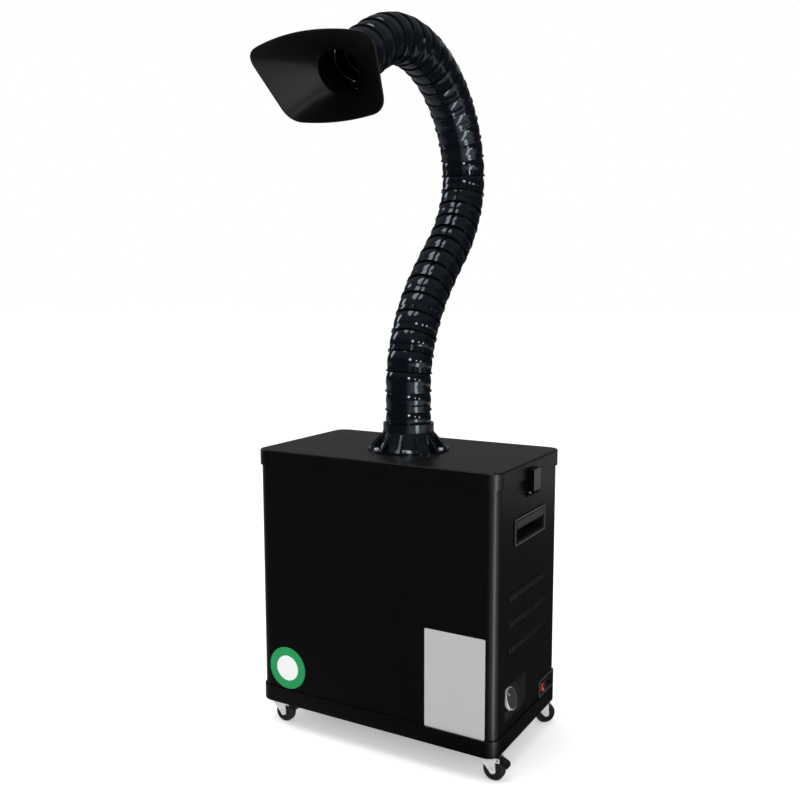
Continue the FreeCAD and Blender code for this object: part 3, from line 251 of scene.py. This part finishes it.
def roundedRect(width, height, radius, steps=6):
    points = []
    for cx, cy, start in ((1, 1, 0), (-1, 1, 90), (-1, -1, 180), (1, -1, 270)):
        for i in range(steps + 1):
            a = math.radians(start + 90 * i / steps)
            x = cx * (width / 2 - radius) + radius * math.cos(a)
            y = cy * (height / 2 - radius) + radius * math.sin(a)
            points.append((x, y))
    return points


def circle(radius, steps=64):
    angles = [2 * math.pi * i / steps for i in range(steps)]
    return [(radius * math.cos(a), radius * math.sin(a)) for a in angles]


# Local z out of the front face, out of the right side and out of the left side
faceFront = Matrix(((1, 0, 0, 0), (0, 0, -1, 0), (0, 1, 0, 0), (0, 0, 0, 1)))
faceRight = Matrix(((0, 0, 1, 0), (1, 0, 0, 0), (0, 1, 0, 0), (0, 0, 0, 1)))
faceLeft = Matrix(((0, 0, -1, 0), (-1, 0, 0, 0), (0, 1, 0, 0), (0, 0, 0, 1)))
bothSides = (("Right", 1, faceRight), ("Left", -1, faceLeft))
shellLow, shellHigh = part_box("cabinet_shell")


def outerX(node, sign):
    low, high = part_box(node)
    return high.x if sign > 0 else low.x


# Pale line round the edge of a plate that faces out of the cabinet's side: a painted highlight standing in for the
# light its edge catches
def makePaintedEdgeHighlight(name, node, sign, facing, plate):
    low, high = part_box(node)
    wide, tall, band = high.y - low.y, high.z - low.z, plate["line"]
    middle = (outerX(node, sign), (low.y + high.y) / 2, (low.z + high.z) / 2)
    outer = roundedRect(wide, tall, plate["round"])
    inner = roundedRect(wide - 2 * band, tall - 2 * band, plate["round"] - band)
    edge = Shape()
    edge.border(outer, inner, 0, plate["highlightThick"], Matrix.Translation(middle) @ facing)
    addPiece(name, edge, "line", "cabinet")


# Dull inside of the arm's last rings, seen through the hood: every face within the radius of the last ring's
# line, and every face past the start of its dome. The line leans from upright by so many degrees.
throat = {"rings": ("arm_rings_15", "arm_rings_16"), "radius": 33 * mm, "domeFrom": -6 * mm, "lean": -120.0}


def dullDuctEnd():
    lean = math.radians(throat["lean"])
    axis = Vector((0, math.sin(lean), math.cos(lean)))
    pivot = Vector(joints["ring_hood_tilt"]["pos_m"])
    for name in throat["rings"]:
        item = nodes[name]
        item.data.materials.append(materials["throat"])
        for face in item.data.polygons:
            reach = item.matrix_world @ face.center - pivot
            along = reach.dot(axis)
            if along > throat["domeFrom"] or (reach - axis * along).length < throat["radius"]:
                face.material_index = 1


inlet = {"line": 1.2 * mm, "highlightThick": 0.2 * mm, "round": 3 * mm}


# The inlet plate's pale outline is a painted highlight on its edge
def makeInletEdgeHighlight():
    makePaintedEdgeHighlight("inletEdgeHighlight", "power_inlet", 1, faceRight, inlet)


# The rocker's two faces rise by the bow from its middle to its ends
rocker = {"tilt": -8, "depth": 4 * mm, "bow": 2.4 * mm, "half": 6.75 * mm, "raise": 0.1 * mm,
          "barWide": 0.8 * mm, "barTall": 3.2 * mm, "barRound": 0.25 * mm,
          "ringInner": 0.9 * mm, "ringOuter": 1.5 * mm, "ringSteps": 32}


def makeRockerMarks():
    marks = Shape()
    lean = Matrix.Rotation(math.radians(rocker["tilt"]), 4, "Y")
    seat = Matrix.Translation(joints["power_rocker"]["pos_m"]) @ lean
    along = Vector((rocker["bow"], 0, rocker["half"])).normalized()
    out = Vector((along.z, 0, -along.x))
    x, z = rocker["depth"] + rocker["bow"] / 2, rocker["half"] / 2
    upper = Matrix(((0, along.x, out.x, x), (1, 0, 0, 0), (0, along.z, out.z, z), (0, 0, 0, 1)))
    lower = Matrix(((0, -along.x, out.x, x), (1, 0, 0, 0), (0, along.z, -out.z, -z), (0, 0, 0, 1)))
    inner, outer, high = rocker["ringInner"], rocker["ringOuter"], rocker["raise"]
    ring = [(inner, 0), (inner, high), (outer, high), (outer, 0)]
    marks.lathe(ring, seat @ lower, rocker["ringSteps"])
    marks.prism(roundedRect(rocker["barWide"], rocker["barTall"], rocker["barRound"]), 0, high, seat @ upper)
    addPiece("rockerMarks", marks, "mark", "rocker")


# Knob: heights from the knob's pivot along its axis. The bright ring is a profile of radius and height over
# the crown, and a rib's ends are inner radius, outer radius and half width.
knob = {
    "crown": 12.8 * mm, "cap": 13.3 * mm,
    "ring": [(17.65 * mm, -4.6 * mm), (17.3 * mm, -0.3 * mm), (16.9 * mm, 0.4 * mm), (16.2 * mm, 0.55 * mm)],
    "ringSteps": 64,
    "ribs": 28, "ribLow": 1.6 * mm, "ribTop": 7.4 * mm,
    "ribFoot": (17.5 * mm, 18.5 * mm, 0.7 * mm), "ribHead": (17.2 * mm, 18.1 * mm, 0.5 * mm),
    "pointerTurn": 35, "pointerHalf": 0.7 * mm, "pointerFrom": 7 * mm, "pointerTo": 14.4 * mm,
    "pointerThick": 0.15 * mm,
    "ticks": 11, "sweep": 280, "tickHalf": 0.3 * mm, "tickFrom": 20 * mm, "tickTo": 22 * mm,
    "tickThick": 0.12 * mm,
}


def makeKnobTrim():
    axis = Vector(joints["knob_turn"]["axis"])
    x, y, z = joints["knob_turn"]["pos_m"]
    at = Matrix(((0, -axis.z, axis.x, x), (1, 0, 0, y), (0, axis.x, axis.z, z), (0, 0, 0, 1)))
    ring = Shape()
    ring.lathe([(radius, knob["crown"] + up) for radius, up in knob["ring"]], at, knob["ringSteps"])
    addPiece("knobRing", ring, "chrome", "knob", smooth=True)

    ribs = Shape()
    ends = ((knob["ribLow"], knob["ribFoot"]), (knob["ribTop"], knob["ribHead"]))
    for i in range(knob["ribs"]):
        corners = []
        for up, (inner, outer, half) in ends:
            corners += [(inner, -half, up), (outer, 0, up), (inner, half, up)]
        turn = at @ Matrix.Rotation(2 * math.pi * i / knob["ribs"], 4, "Z")
        ribs.add(corners, [(0, 2, 1), (3, 4, 5), (0, 1, 4, 3), (1, 2, 5, 4), (2, 0, 3, 5)], turn)
    addPiece("knobRibs", ribs, "moulded", "knob")

    pointer = Shape()
    half = knob["pointerHalf"]
    turn = at @ Matrix.Rotation(math.radians(knob["pointerTurn"]), 4, "Z")
    pointer.prism(rectangle(-half, half, knob["pointerFrom"], knob["pointerTo"]),
                  knob["cap"], knob["cap"] + knob["pointerThick"], turn)
    addPiece("knobPointer", pointer, "mark", "knob")

    ticks = Shape()
    tick = rectangle(-knob["tickHalf"], knob["tickHalf"], knob["tickFrom"], knob["tickTo"])
    for i in range(knob["ticks"]):
        turn = math.radians(knob["sweep"] * (i / (knob["ticks"] - 1) - 0.5))
        ticks.prism(tick, 0, knob["tickThick"], at @ Matrix.Rotation(turn, 4, "Z"))
    addPiece("knobTicks", ticks, "tick", "cabinet")


# Latch: screw and plate up from the lever's pivot, catch up from the lid's lower edge. The plate is a lighter grey
# on the lever's outward face: painted light standing in for the light that face catches
latch = {
    "rivet": [(0, 0.9 * mm), (1.6 * mm, 0.8 * mm), (2.3 * mm, 0.3 * mm), (2.4 * mm, 0)],
    "screw": [(0, 0.25 * mm), (0.5 * mm, 0.25 * mm), (0.5 * mm, 0.6 * mm), (2.2 * mm, 0.45 * mm),
              (2.8 * mm, 0)],
    "headSteps": 24, "screwUp": 15 * mm,
    "plateUp": 19 * mm, "plateWide": 27 * mm, "plateHigh": 34 * mm, "plateRound": 3 * mm,
    "plateThick": 0.3 * mm,
    "catchUp": 7.5 * mm, "catchWide": 21 * mm, "catchHigh": 12 * mm, "catchRound": 1.5 * mm,
    "catchThick": 0.5 * mm,
}


def makeLatchTrim():
    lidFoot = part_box("lid")[0].z
    for side, sign, facing in bothSides:
        lever = "latch_" + side.lower()
        pivotX, pivotY, pivotZ = joints[lever]["pos_m"]
        leverNode = "latch_lever_" + side.lower()
        outer, ear = outerX(leverNode, sign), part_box(leverNode)[1].y

        heads = Shape()
        for end in (-1, 1):
            spin = Matrix.Rotation(math.radians(-90 * end), 4, "X")
            at = Matrix.Translation((pivotX, end * ear, pivotZ)) @ spin
            heads.lathe(latch["rivet"], at, latch["headSteps"])
        at = Matrix.Translation((outer, pivotY, pivotZ + latch["screwUp"])) @ facing
        heads.lathe(latch["screw"], at, latch["headSteps"])
        addPiece("latchRivets" + side, heads, "zincDark", lever, smooth=True)

        # Lighter plate on the lever's outward face: painted light, not a part of its own
        plate = Shape()
        at = Matrix.Translation((outer, pivotY, pivotZ + latch["plateUp"])) @ facing
        plate.prism(roundedRect(latch["plateWide"], latch["plateHigh"], latch["plateRound"]),
                    0, latch["plateThick"], at)
        addPiece("latchHighlightPlate" + side, plate, "latchPaintedHighlight", lever)

        catch = Shape()
        at = Matrix.Translation((outerX("lid", sign), pivotY, lidFoot + latch["catchUp"])) @ facing
        catch.prism(roundedRect(latch["catchWide"], latch["catchHigh"], latch["catchRound"]),
                    0, latch["catchThick"], at)
        addPiece("latchCatch" + side, catch, "latch", "lid")


# Hood: lengths along the neck from its pivot, and the mouth's outline as seen along the neck. The bead sinks
# by a share of its radius. The seal's inner edge follows the last ring's dome, so that no gap shows round it.
hood = {
    "heading": -130.0, "mouth": 81.9 * mm, "wall": 2.5 * mm,
    "top": 208 * mm, "bottom": 162 * mm, "above": 70 * mm, "below": 38 * mm,
    "topBow": 17 * mm, "bottomBow": 9 * mm, "corner": 22 * mm, "sideSteps": 16, "cornerSteps": 8,
    "bead": 1.55 * mm, "beadSink": 0.6, "beadSides": 8,
    "dome": 37.55 * mm, "sealLow": 14.0 * mm, "sealHigh": 15.4 * mm, "sealOuter": 35.6 * mm, "sealSteps": 96,
}


def hoodPlace():
    turn = Matrix.Rotation(math.radians(-hood["heading"]), 4, "X")
    return Matrix.Translation(joints["ring_hood_tilt"]["pos_m"]) @ turn


# Four bowed sides joined by curves at the corners, inside a given inset
def mouthOutline(inset):
    top, low = hood["above"] - inset, -hood["below"] + inset
    halfTop, halfLow = hood["top"] / 2 - inset, hood["bottom"] / 2 - inset
    corners = [Vector(at) for at in ((halfTop, top), (-halfTop, top), (-halfLow, low), (halfLow, low))]
    bows = [hood["topBow"], 0.0, -hood["bottomBow"], 0.0]
    sides = []
    for i in range(4):
        start, end = corners[i], corners[(i + 1) % 4]
        reach = (hood["corner"] - inset) / (end - start).length
        count = hood["sideSteps"]
        shares = [reach + (1 - 2 * reach) * k / count for k in range(count + 1)]
        sides.append([start.lerp(end, u) + Vector((0, bows[i] * 4 * u * (1 - u))) for u in shares])
    points = []
    for i, side in enumerate(sides):
        before, corner, first = sides[i - 1][-1], corners[i], side[0]
        for k in range(1, hood["cornerSteps"]):
            u = k / hood["cornerSteps"]
            points.append(before * (1 - u) ** 2 + corner * 2 * u * (1 - u) + first * u * u)
        points += side
    return points


def makeHoodRim():
    outline = mouthOutline(hood["wall"] / 2)
    count, sides, bead = len(outline), hood["beadSides"], hood["bead"]
    vertices, faces = [], []
    for i, point in enumerate(outline):
        j = (i + 1) % count
        along = (outline[j] - outline[i - 1]).normalized()
        out = Vector((along.y, -along.x))
        for k in range(sides):
            a = 2 * math.pi * k / sides
            flat = point + out * bead * math.cos(a)
            vertices.append((flat.x, flat.y, hood["mouth"] - bead * hood["beadSink"] + bead * math.sin(a)))
            after = (k + 1) % sides
            faces.append((i * sides + k, j * sides + k, j * sides + after, i * sides + after))
    rim = Shape()
    rim.add(vertices, faces, hoodPlace())
    addPiece("hoodRim", rim, "hood", "hood", smooth=True)


def makeHoodSeal():
    low, high, outer, dome = hood["sealLow"], hood["sealHigh"], hood["sealOuter"], hood["dome"]
    lowEdge, highEdge = (math.sqrt(dome ** 2 - up ** 2) for up in (low, high))
    profile = [(outer, low), (lowEdge, low), (highEdge, high), (outer, high), (outer, low)]
    seal = Shape()
    seal.lathe(profile, hoodPlace(), hood["sealSteps"])
    addPiece("hoodSeal", seal, "throat", "hood")


# Folded paper inside the prefilter's rim
pleats = {"rim": 12.5 * mm, "below": 0.3 * mm, "depth": 2.5 * mm, "pitch": 7.5 * mm}


def makePleats():
    low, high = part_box("prefilter")
    left, right = low.x + pleats["rim"], high.x - pleats["rim"]
    front, rear = low.y + pleats["rim"], high.y - pleats["rim"]
    ridge = high.z - pleats["below"]
    valley = ridge - pleats["depth"]
    count = int((right - left) / pleats["pitch"]) * 2
    vertices = []
    for i in range(count + 1):
        x = left + (right - left) * i / count
        z = ridge if i % 2 else valley
        vertices += [(x, front, z), (x, rear, z)]
    paper = Shape()
    paper.add(vertices, [(2 * i, 2 * i + 1, 2 * i + 3, 2 * i + 2) for i in range(count)])
    addPiece("prefilterPleats", paper, "media", "cabinet")


# Handle: a lighter grip plate in two halves under the top of the frame, with a seam between them
handle = {"line": 1.6 * mm, "highlightThick": 0.2 * mm, "round": 3 * mm,
          "gripDown": 4 * mm, "gripTall": 11 * mm, "gripHalf": 53.5 * mm, "gripGap": 0.6 * mm,
          "gripThick": 0.35 * mm, "gripEdge": 0.15 * mm, "seam": 0.8 * mm, "seamThick": 0.12 * mm}


def makeHandleTrim():
    half = handle["gripTall"] / 2
    for side, sign, facing in bothSides:
        pocket = "handle_" + side.lower()
        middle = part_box(pocket)[1].z - handle["gripDown"] - half
        at = Matrix.Translation((outerX(pocket, sign), 0, middle)) @ facing
        seam = Shape()
        width = handle["seam"]
        seam.prism(rectangle(-width / 2, width / 2, -half, half), 0, handle["seamThick"], at)
        addPiece("gripSeam" + side, seam, "foam", "cabinet")
        # The bezel's pale outline is a painted highlight on its edges
        makePaintedEdgeHighlight("bezelEdgeHighlight" + side, pocket, sign, facing, handle)
        sheet = Shape()
        gap, end = handle["gripGap"], handle["gripHalf"]
        for left, right in ((-end, -gap), (gap, end)):
            sheet.prism(rectangle(left, right, -half, half), 0, handle["gripThick"], at)
        addPiece("gripPlate" + side, sheet, "grip", "cabinet", bevel=handle["gripEdge"])


placard = {"x": 150 * mm, "z": 147 * mm, "width": 102 * mm, "height": 157 * mm, "round": 2 * mm,
           "thick": 0.35 * mm}


def makePlacard():
    card = Shape()
    at = Matrix.Translation((placard["x"], shellLow.y, placard["z"])) @ faceFront
    card.prism(roundedRect(placard["width"], placard["height"], placard["round"]), 0, placard["thick"], at)
    addPiece("placardCard", card, "card", "cabinet")


badge = {"x": -163 * mm, "z": 106 * mm, "radius": 36 * mm, "heart": 21.5 * mm, "thick": 0.4 * mm,
         "raise": 0.12 * mm}


def makeBadge():
    at = Matrix.Translation((badge["x"], shellLow.y, badge["z"])) @ faceFront
    green = Shape()
    green.prism(circle(badge["radius"]), 0, badge["thick"], at)
    addPiece("discGreen", green, "green", "cabinet")
    heart = Shape()
    heart.prism(circle(badge["heart"]), 0, badge["thick"] + badge["raise"], at)
    addPiece("discHeart", heart, "pale", "cabinet")


# Louvres: a pressed lip over each slit, open along one edge ("mouth" is that edge's share of the half width)
louvre = {"columns": 16, "rows": 3, "pitch": 9.5 * mm, "rowPitch": 41.3 * mm, "lowest": 192 * mm,
          "width": 3.4 * mm, "height": 8 * mm, "over": 0.5 * mm, "lift": 1.4 * mm, "mouth": 0.8,
          "sheet": 0.5 * mm}


def makeLouvres():
    back, front = -louvre["width"] / 2, louvre["width"] / 2 * louvre["mouth"]
    half, lift = louvre["height"] / 2 + louvre["over"], louvre["lift"]
    lip = [(back, -half, 0), (front, -half, lift), (front, half, lift), (back, half, 0), (front, -half, 0),
           (front, half, 0)]
    for side, sign, facing in bothSides:
        x = outerX("cabinet_shell", sign)
        lips = Shape()
        for row in range(louvre["rows"]):
            for column in range(louvre["columns"]):
                y = (column - (louvre["columns"] - 1) / 2) * louvre["pitch"]
                z = louvre["lowest"] + row * louvre["rowPitch"]
                at = Matrix.Translation((x, y, z)) @ facing
                lips.add(lip, [(0, 1, 2, 3), (0, 4, 1), (3, 2, 5)], at)
        piece = addPiece("louvreLips" + side, lips, "powder", "cabinet")
        solid = piece.modifiers.new("sheet", "SOLIDIFY")
        solid.thickness = louvre["sheet"]
        solid.offset = -1


dullDuctEnd()
makeInletEdgeHighlight()
makeRockerMarks()
makeKnobTrim()
makeLatchTrim()
makeHoodRim()
makeHoodSeal()
makePleats()
makeHandleTrim()
makePlacard()
makeBadge()
makeLouvres()
print("stage: trim, placard, disc and louvres")


# Unit vector by azimuth from the front towards +X, and elevation, in degrees
def towards(azimuth, elevation=0.0):
    a, e = math.radians(azimuth), math.radians(elevation)
    return Vector((math.sin(a) * math.cos(e), -math.cos(a) * math.cos(e), math.sin(e)))


# Camera at the photo's angle
view = {"eye": (0.74202, -1.31341, 0.73798), "azimuth": 29.996, "elevation": 7.124, "roll": -0.122,
        "lens": 40.868, "sensor": 36.0, "near": 0.05, "far": 100.0}


def makeCamera():
    back = towards(view["azimuth"], view["elevation"])
    level = (-back).to_track_quat("-Z", "Y").to_matrix()
    roll = Matrix.Rotation(math.radians(view["roll"]), 3, back)
    camera = bpy.data.objects.new("camera", bpy.data.cameras.new("camera"))
    bpy.context.scene.collection.objects.link(camera)
    camera.data.lens = view["lens"]
    camera.data.sensor_width = view["sensor"]
    camera.data.clip_start = view["near"]
    camera.data.clip_end = view["far"]
    camera.location = view["eye"]
    camera.rotation_mode = "QUATERNION"
    camera.rotation_quaternion = (roll @ level).to_quaternion()
    bpy.context.scene.camera = camera


# Studio: white for the camera. In its own reflections the object sees a dim room with pale upright panels,
# and pale patches on the floor: near ones round its front right corner, and a far band behind it.
# A panel stands in a direction, full inside one angle from it and gone outside the other.
studio = {"fill": 0.75, "room": 0.03, "ceiling": 0.14, "panelLow": 0.25, "panelHigh": 0.6,
          "floorReach": 30.0, "floorTone": 0.9, "floorGlow": 0.35, "cornerInset": (12 * mm, 11 * mm),
          "nearFrom": 0.10, "nearFull": 0.17,
          "farFrom": 1.9, "farFull": 2.25, "farEnd": 3.0, "farGone": 3.8}
wallPanels = [
    {"azimuth": -156, "full": 14, "gone": 45, "glow": 0.12},
]
nearPanels = [
    {"azimuth": 70, "full": 20, "gone": 60, "glow": 0.65},
    {"azimuth": 70, "full": 3, "gone": 10, "glow": 6.0},
    {"azimuth": -115, "full": 15, "gone": 50, "glow": 0.20},
]
farPanels = [
    {"azimuth": 150, "full": 35, "gone": 75, "glow": 0.36},
]


def addMix(tree, at, factor, low, high):
    mix = addNode(tree, "ShaderNodeMix", at)
    mix.data_type = "RGBA"
    tree.links.new(factor, mix.inputs["Factor"])
    for socket, value in (("A", low), ("B", high)):
        if isinstance(value, float):
            mix.inputs[socket].default_value = (value, value, value, 1.0)
        else:
            tree.links.new(value, mix.inputs[socket])
    return mix.outputs["Result"]


def addMath(tree, operation, at, first, second):
    made = addNode(tree, "ShaderNodeMath", at)
    made.operation = operation
    tree.links.new(first, made.inputs[0])
    tree.links.new(second, made.inputs[1])
    return made.outputs["Value"]


def addVectorMath(tree, operation, at, vector, constant=None):
    made = addNode(tree, "ShaderNodeVectorMath", at)
    made.operation = operation
    tree.links.new(vector, made.inputs[0])
    if constant is not None:
        made.inputs[1].default_value = constant
    return made.outputs["Value" if operation in ("DOT_PRODUCT", "LENGTH") else "Vector"]


def addRamp(tree, at, value, fromLow, fromHigh, toLow=0.0, toHigh=1.0):
    ramp = addNode(tree, "ShaderNodeMapRange", at)
    ramp.interpolation_type = "SMOOTHSTEP"
    ramp.inputs["From Min"].default_value = fromLow
    ramp.inputs["From Max"].default_value = fromHigh
    ramp.inputs["To Min"].default_value = toLow
    ramp.inputs["To Max"].default_value = toHigh
    tree.links.new(value, ramp.inputs["Value"])
    return ramp.outputs["Result"]


def addMirrorRays(tree, rays):
    glossy, clear = rays.outputs["Is Glossy Ray"], rays.outputs["Is Transmission Ray"]
    return addMath(tree, "MAXIMUM", (-450, -150), glossy, clear)


# Brightness of the room in a direction: panels low down, fading into an even ceiling
def addRoom(tree, direction, panels):
    level = addVectorMath(tree, "MULTIPLY", (-1300, -300), direction, (1.0, 1.0, 0.0))
    unit = addVectorMath(tree, "NORMALIZE", (-1150, -300), level)
    parts = addNode(tree, "ShaderNodeSeparateXYZ", (-1300, -600))
    tree.links.new(direction, parts.inputs["Vector"])
    rise = parts.outputs["Z"]
    low, high = studio["panelLow"], studio["panelHigh"]
    fading = addRamp(tree, (-1150, -600), rise, low, high, 1.0, 0.0)
    upper = addRamp(tree, (-1150, -900), rise, low, high, studio["room"], studio["ceiling"])
    total = None
    for i, panel in enumerate(panels):
        down = -300 - 200 * i
        facing = addVectorMath(tree, "DOT_PRODUCT", (-1000, down), unit, towards(panel["azimuth"]))
        gone, full = math.cos(math.radians(panel["gone"])), math.cos(math.radians(panel["full"]))
        spread = addRamp(tree, (-850, down), facing, gone, full, 0.0, panel["glow"])
        total = spread if total is None else addMath(tree, "ADD", (-700, down), total, spread)
    shown = addMath(tree, "MULTIPLY", (-550, -450), total, fading)
    return addMath(tree, "ADD", (-400, -450), shown, upper)


def makeWorld():
    world = bpy.data.worlds.new("studio")
    bpy.context.scene.world = world
    world.use_nodes = True
    tree = world.node_tree
    tree.nodes.clear()
    rays = addNode(tree, "ShaderNodeLightPath", (-700, 0))
    place = addNode(tree, "ShaderNodeTexCoord", (-1500, -300))
    room = addRoom(tree, place.outputs["Generated"], wallPanels)
    dim = addMix(tree, (-150, -100), addMirrorRays(tree, rays), studio["fill"], room)
    white = addMix(tree, (0, 0), rays.outputs["Is Camera Ray"], dim, 1.0)
    sky = addNode(tree, "ShaderNodeBackground", (200, 0))
    tree.links.new(white, sky.inputs["Color"])
    worldOut = addNode(tree, "ShaderNodeOutputWorld", (400, 0))
    tree.links.new(sky.outputs["Background"], worldOut.inputs["Surface"])


# Brightness of the floor in the object's reflections, measured out from its front right corner
def addFloorPatches(tree):
    insetX, insetY = studio["cornerInset"]
    corner = (shellHigh.x - insetX, shellLow.y + insetY, 0.0)
    place = addNode(tree, "ShaderNodeTexCoord", (-1700, -400))
    away = addVectorMath(tree, "SUBTRACT", (-1500, -400), place.outputs["Object"], corner)
    gap = addVectorMath(tree, "LENGTH", (-1300, -900), away)
    near = addRamp(tree, (-1150, -1100), gap, studio["nearFrom"], studio["nearFull"])
    farIn = addRamp(tree, (-1150, -1300), gap, studio["farFrom"], studio["farFull"])
    farOut = addRamp(tree, (-1150, -1500), gap, studio["farEnd"], studio["farGone"], 1.0, 0.0)
    band = addMath(tree, "MULTIPLY", (-400, -900), farIn, farOut)
    close = addMath(tree, "MULTIPLY", (-250, -450), addRoom(tree, away, nearPanels), near)
    distant = addMath(tree, "MULTIPLY", (-250, -900), addRoom(tree, away, farPanels), band)
    return addMath(tree, "ADD", (-150, -700), close, distant)


def makeFloorPaint():
    paint = bpy.data.materials.new("floorWhite")
    paint.use_nodes = True
    tree = paint.node_tree
    tree.nodes.clear()
    rays = addNode(tree, "ShaderNodeLightPath", (-700, 200))
    tone = studio["floorTone"]
    matt = addNode(tree, "ShaderNodeBsdfDiffuse", (-400, 0), Color=(tone, tone, tone, 1.0))
    glow = addNode(tree, "ShaderNodeEmission", (-400, -150), Strength=studio["floorGlow"])
    both = addNode(tree, "ShaderNodeAddShader", (-200, 0))
    tree.links.new(matt.outputs["BSDF"], both.inputs[0])
    tree.links.new(glow.outputs["Emission"], both.inputs[1])
    mirrored = addNode(tree, "ShaderNodeEmission", (-100, -350))
    tree.links.new(addFloorPatches(tree), mirrored.inputs["Color"])
    pick = addNode(tree, "ShaderNodeMixShader", (100, 0))
    tree.links.new(addMirrorRays(tree, rays), pick.inputs["Fac"])
    tree.links.new(both.outputs["Shader"], pick.inputs[1])
    tree.links.new(mirrored.outputs["Emission"], pick.inputs[2])
    out = addNode(tree, "ShaderNodeOutputMaterial", (300, 0))
    tree.links.new(pick.outputs["Shader"], out.inputs["Surface"])
    return paint


def makeFloor():
    mesh = bpy.data.meshes.new("floor")
    reach = studio["floorReach"]
    corners = [(x, y, 0) for x, y in rectangle(-reach, reach, -reach, reach)]
    mesh.from_pydata(corners, [], [(0, 1, 2, 3)])
    floor = bpy.data.objects.new("floor", mesh)
    bpy.context.scene.collection.objects.link(floor)
    mesh.materials.append(makeFloorPaint())


# Lamps by the direction they stand in from the point they aim at
lampAim = Vector((0.0, 0.0, 0.75))
lamps = {
    "overhead": {"azimuth": -20, "elevation": 75, "distance": 2.6, "size": (2.0, 2.0), "power": 34},
    "leftBank": {"azimuth": -86, "elevation": 22, "distance": 2.6, "size": (0.8, 1.2), "power": 9,
                 "colour": (0.9, 0.95, 1)},
    "spotA": {"azimuth": 32, "elevation": 16, "distance": 2.8, "size": (0.45, 0.45), "power": 9},
    "spotB": {"azimuth": 64, "elevation": 9, "distance": 2.8, "size": (0.26, 0.26), "power": 2.6},
    "spotC": {"azimuth": 87, "elevation": 3, "distance": 2.8, "size": (0.26, 0.26), "power": 2.6},
}


def makeLamp(name, lamp):
    away = towards(lamp["azimuth"], lamp["elevation"])
    data = bpy.data.lights.new(name, "AREA")
    data.shape = "ELLIPSE"
    data.size, data.size_y = lamp["size"]
    data.energy = lamp["power"]
    data.color = lamp.get("colour", (1, 1, 1))
    item = bpy.data.objects.new(name, data)
    bpy.context.scene.collection.objects.link(item)
    item.location = lampAim + away * lamp["distance"]
    item.visible_camera = False
    item.rotation_mode = "QUATERNION"
    item.rotation_quaternion = (-away).to_track_quat("-Z", "Y")


makeCamera()
makeWorld()
makeFloor()
for name, lamp in lamps.items():
    makeLamp(name, lamp)
bpy.context.scene.view_settings.view_transform = "Standard"
print("stage: camera and studio,", len(lamps), "lamps")
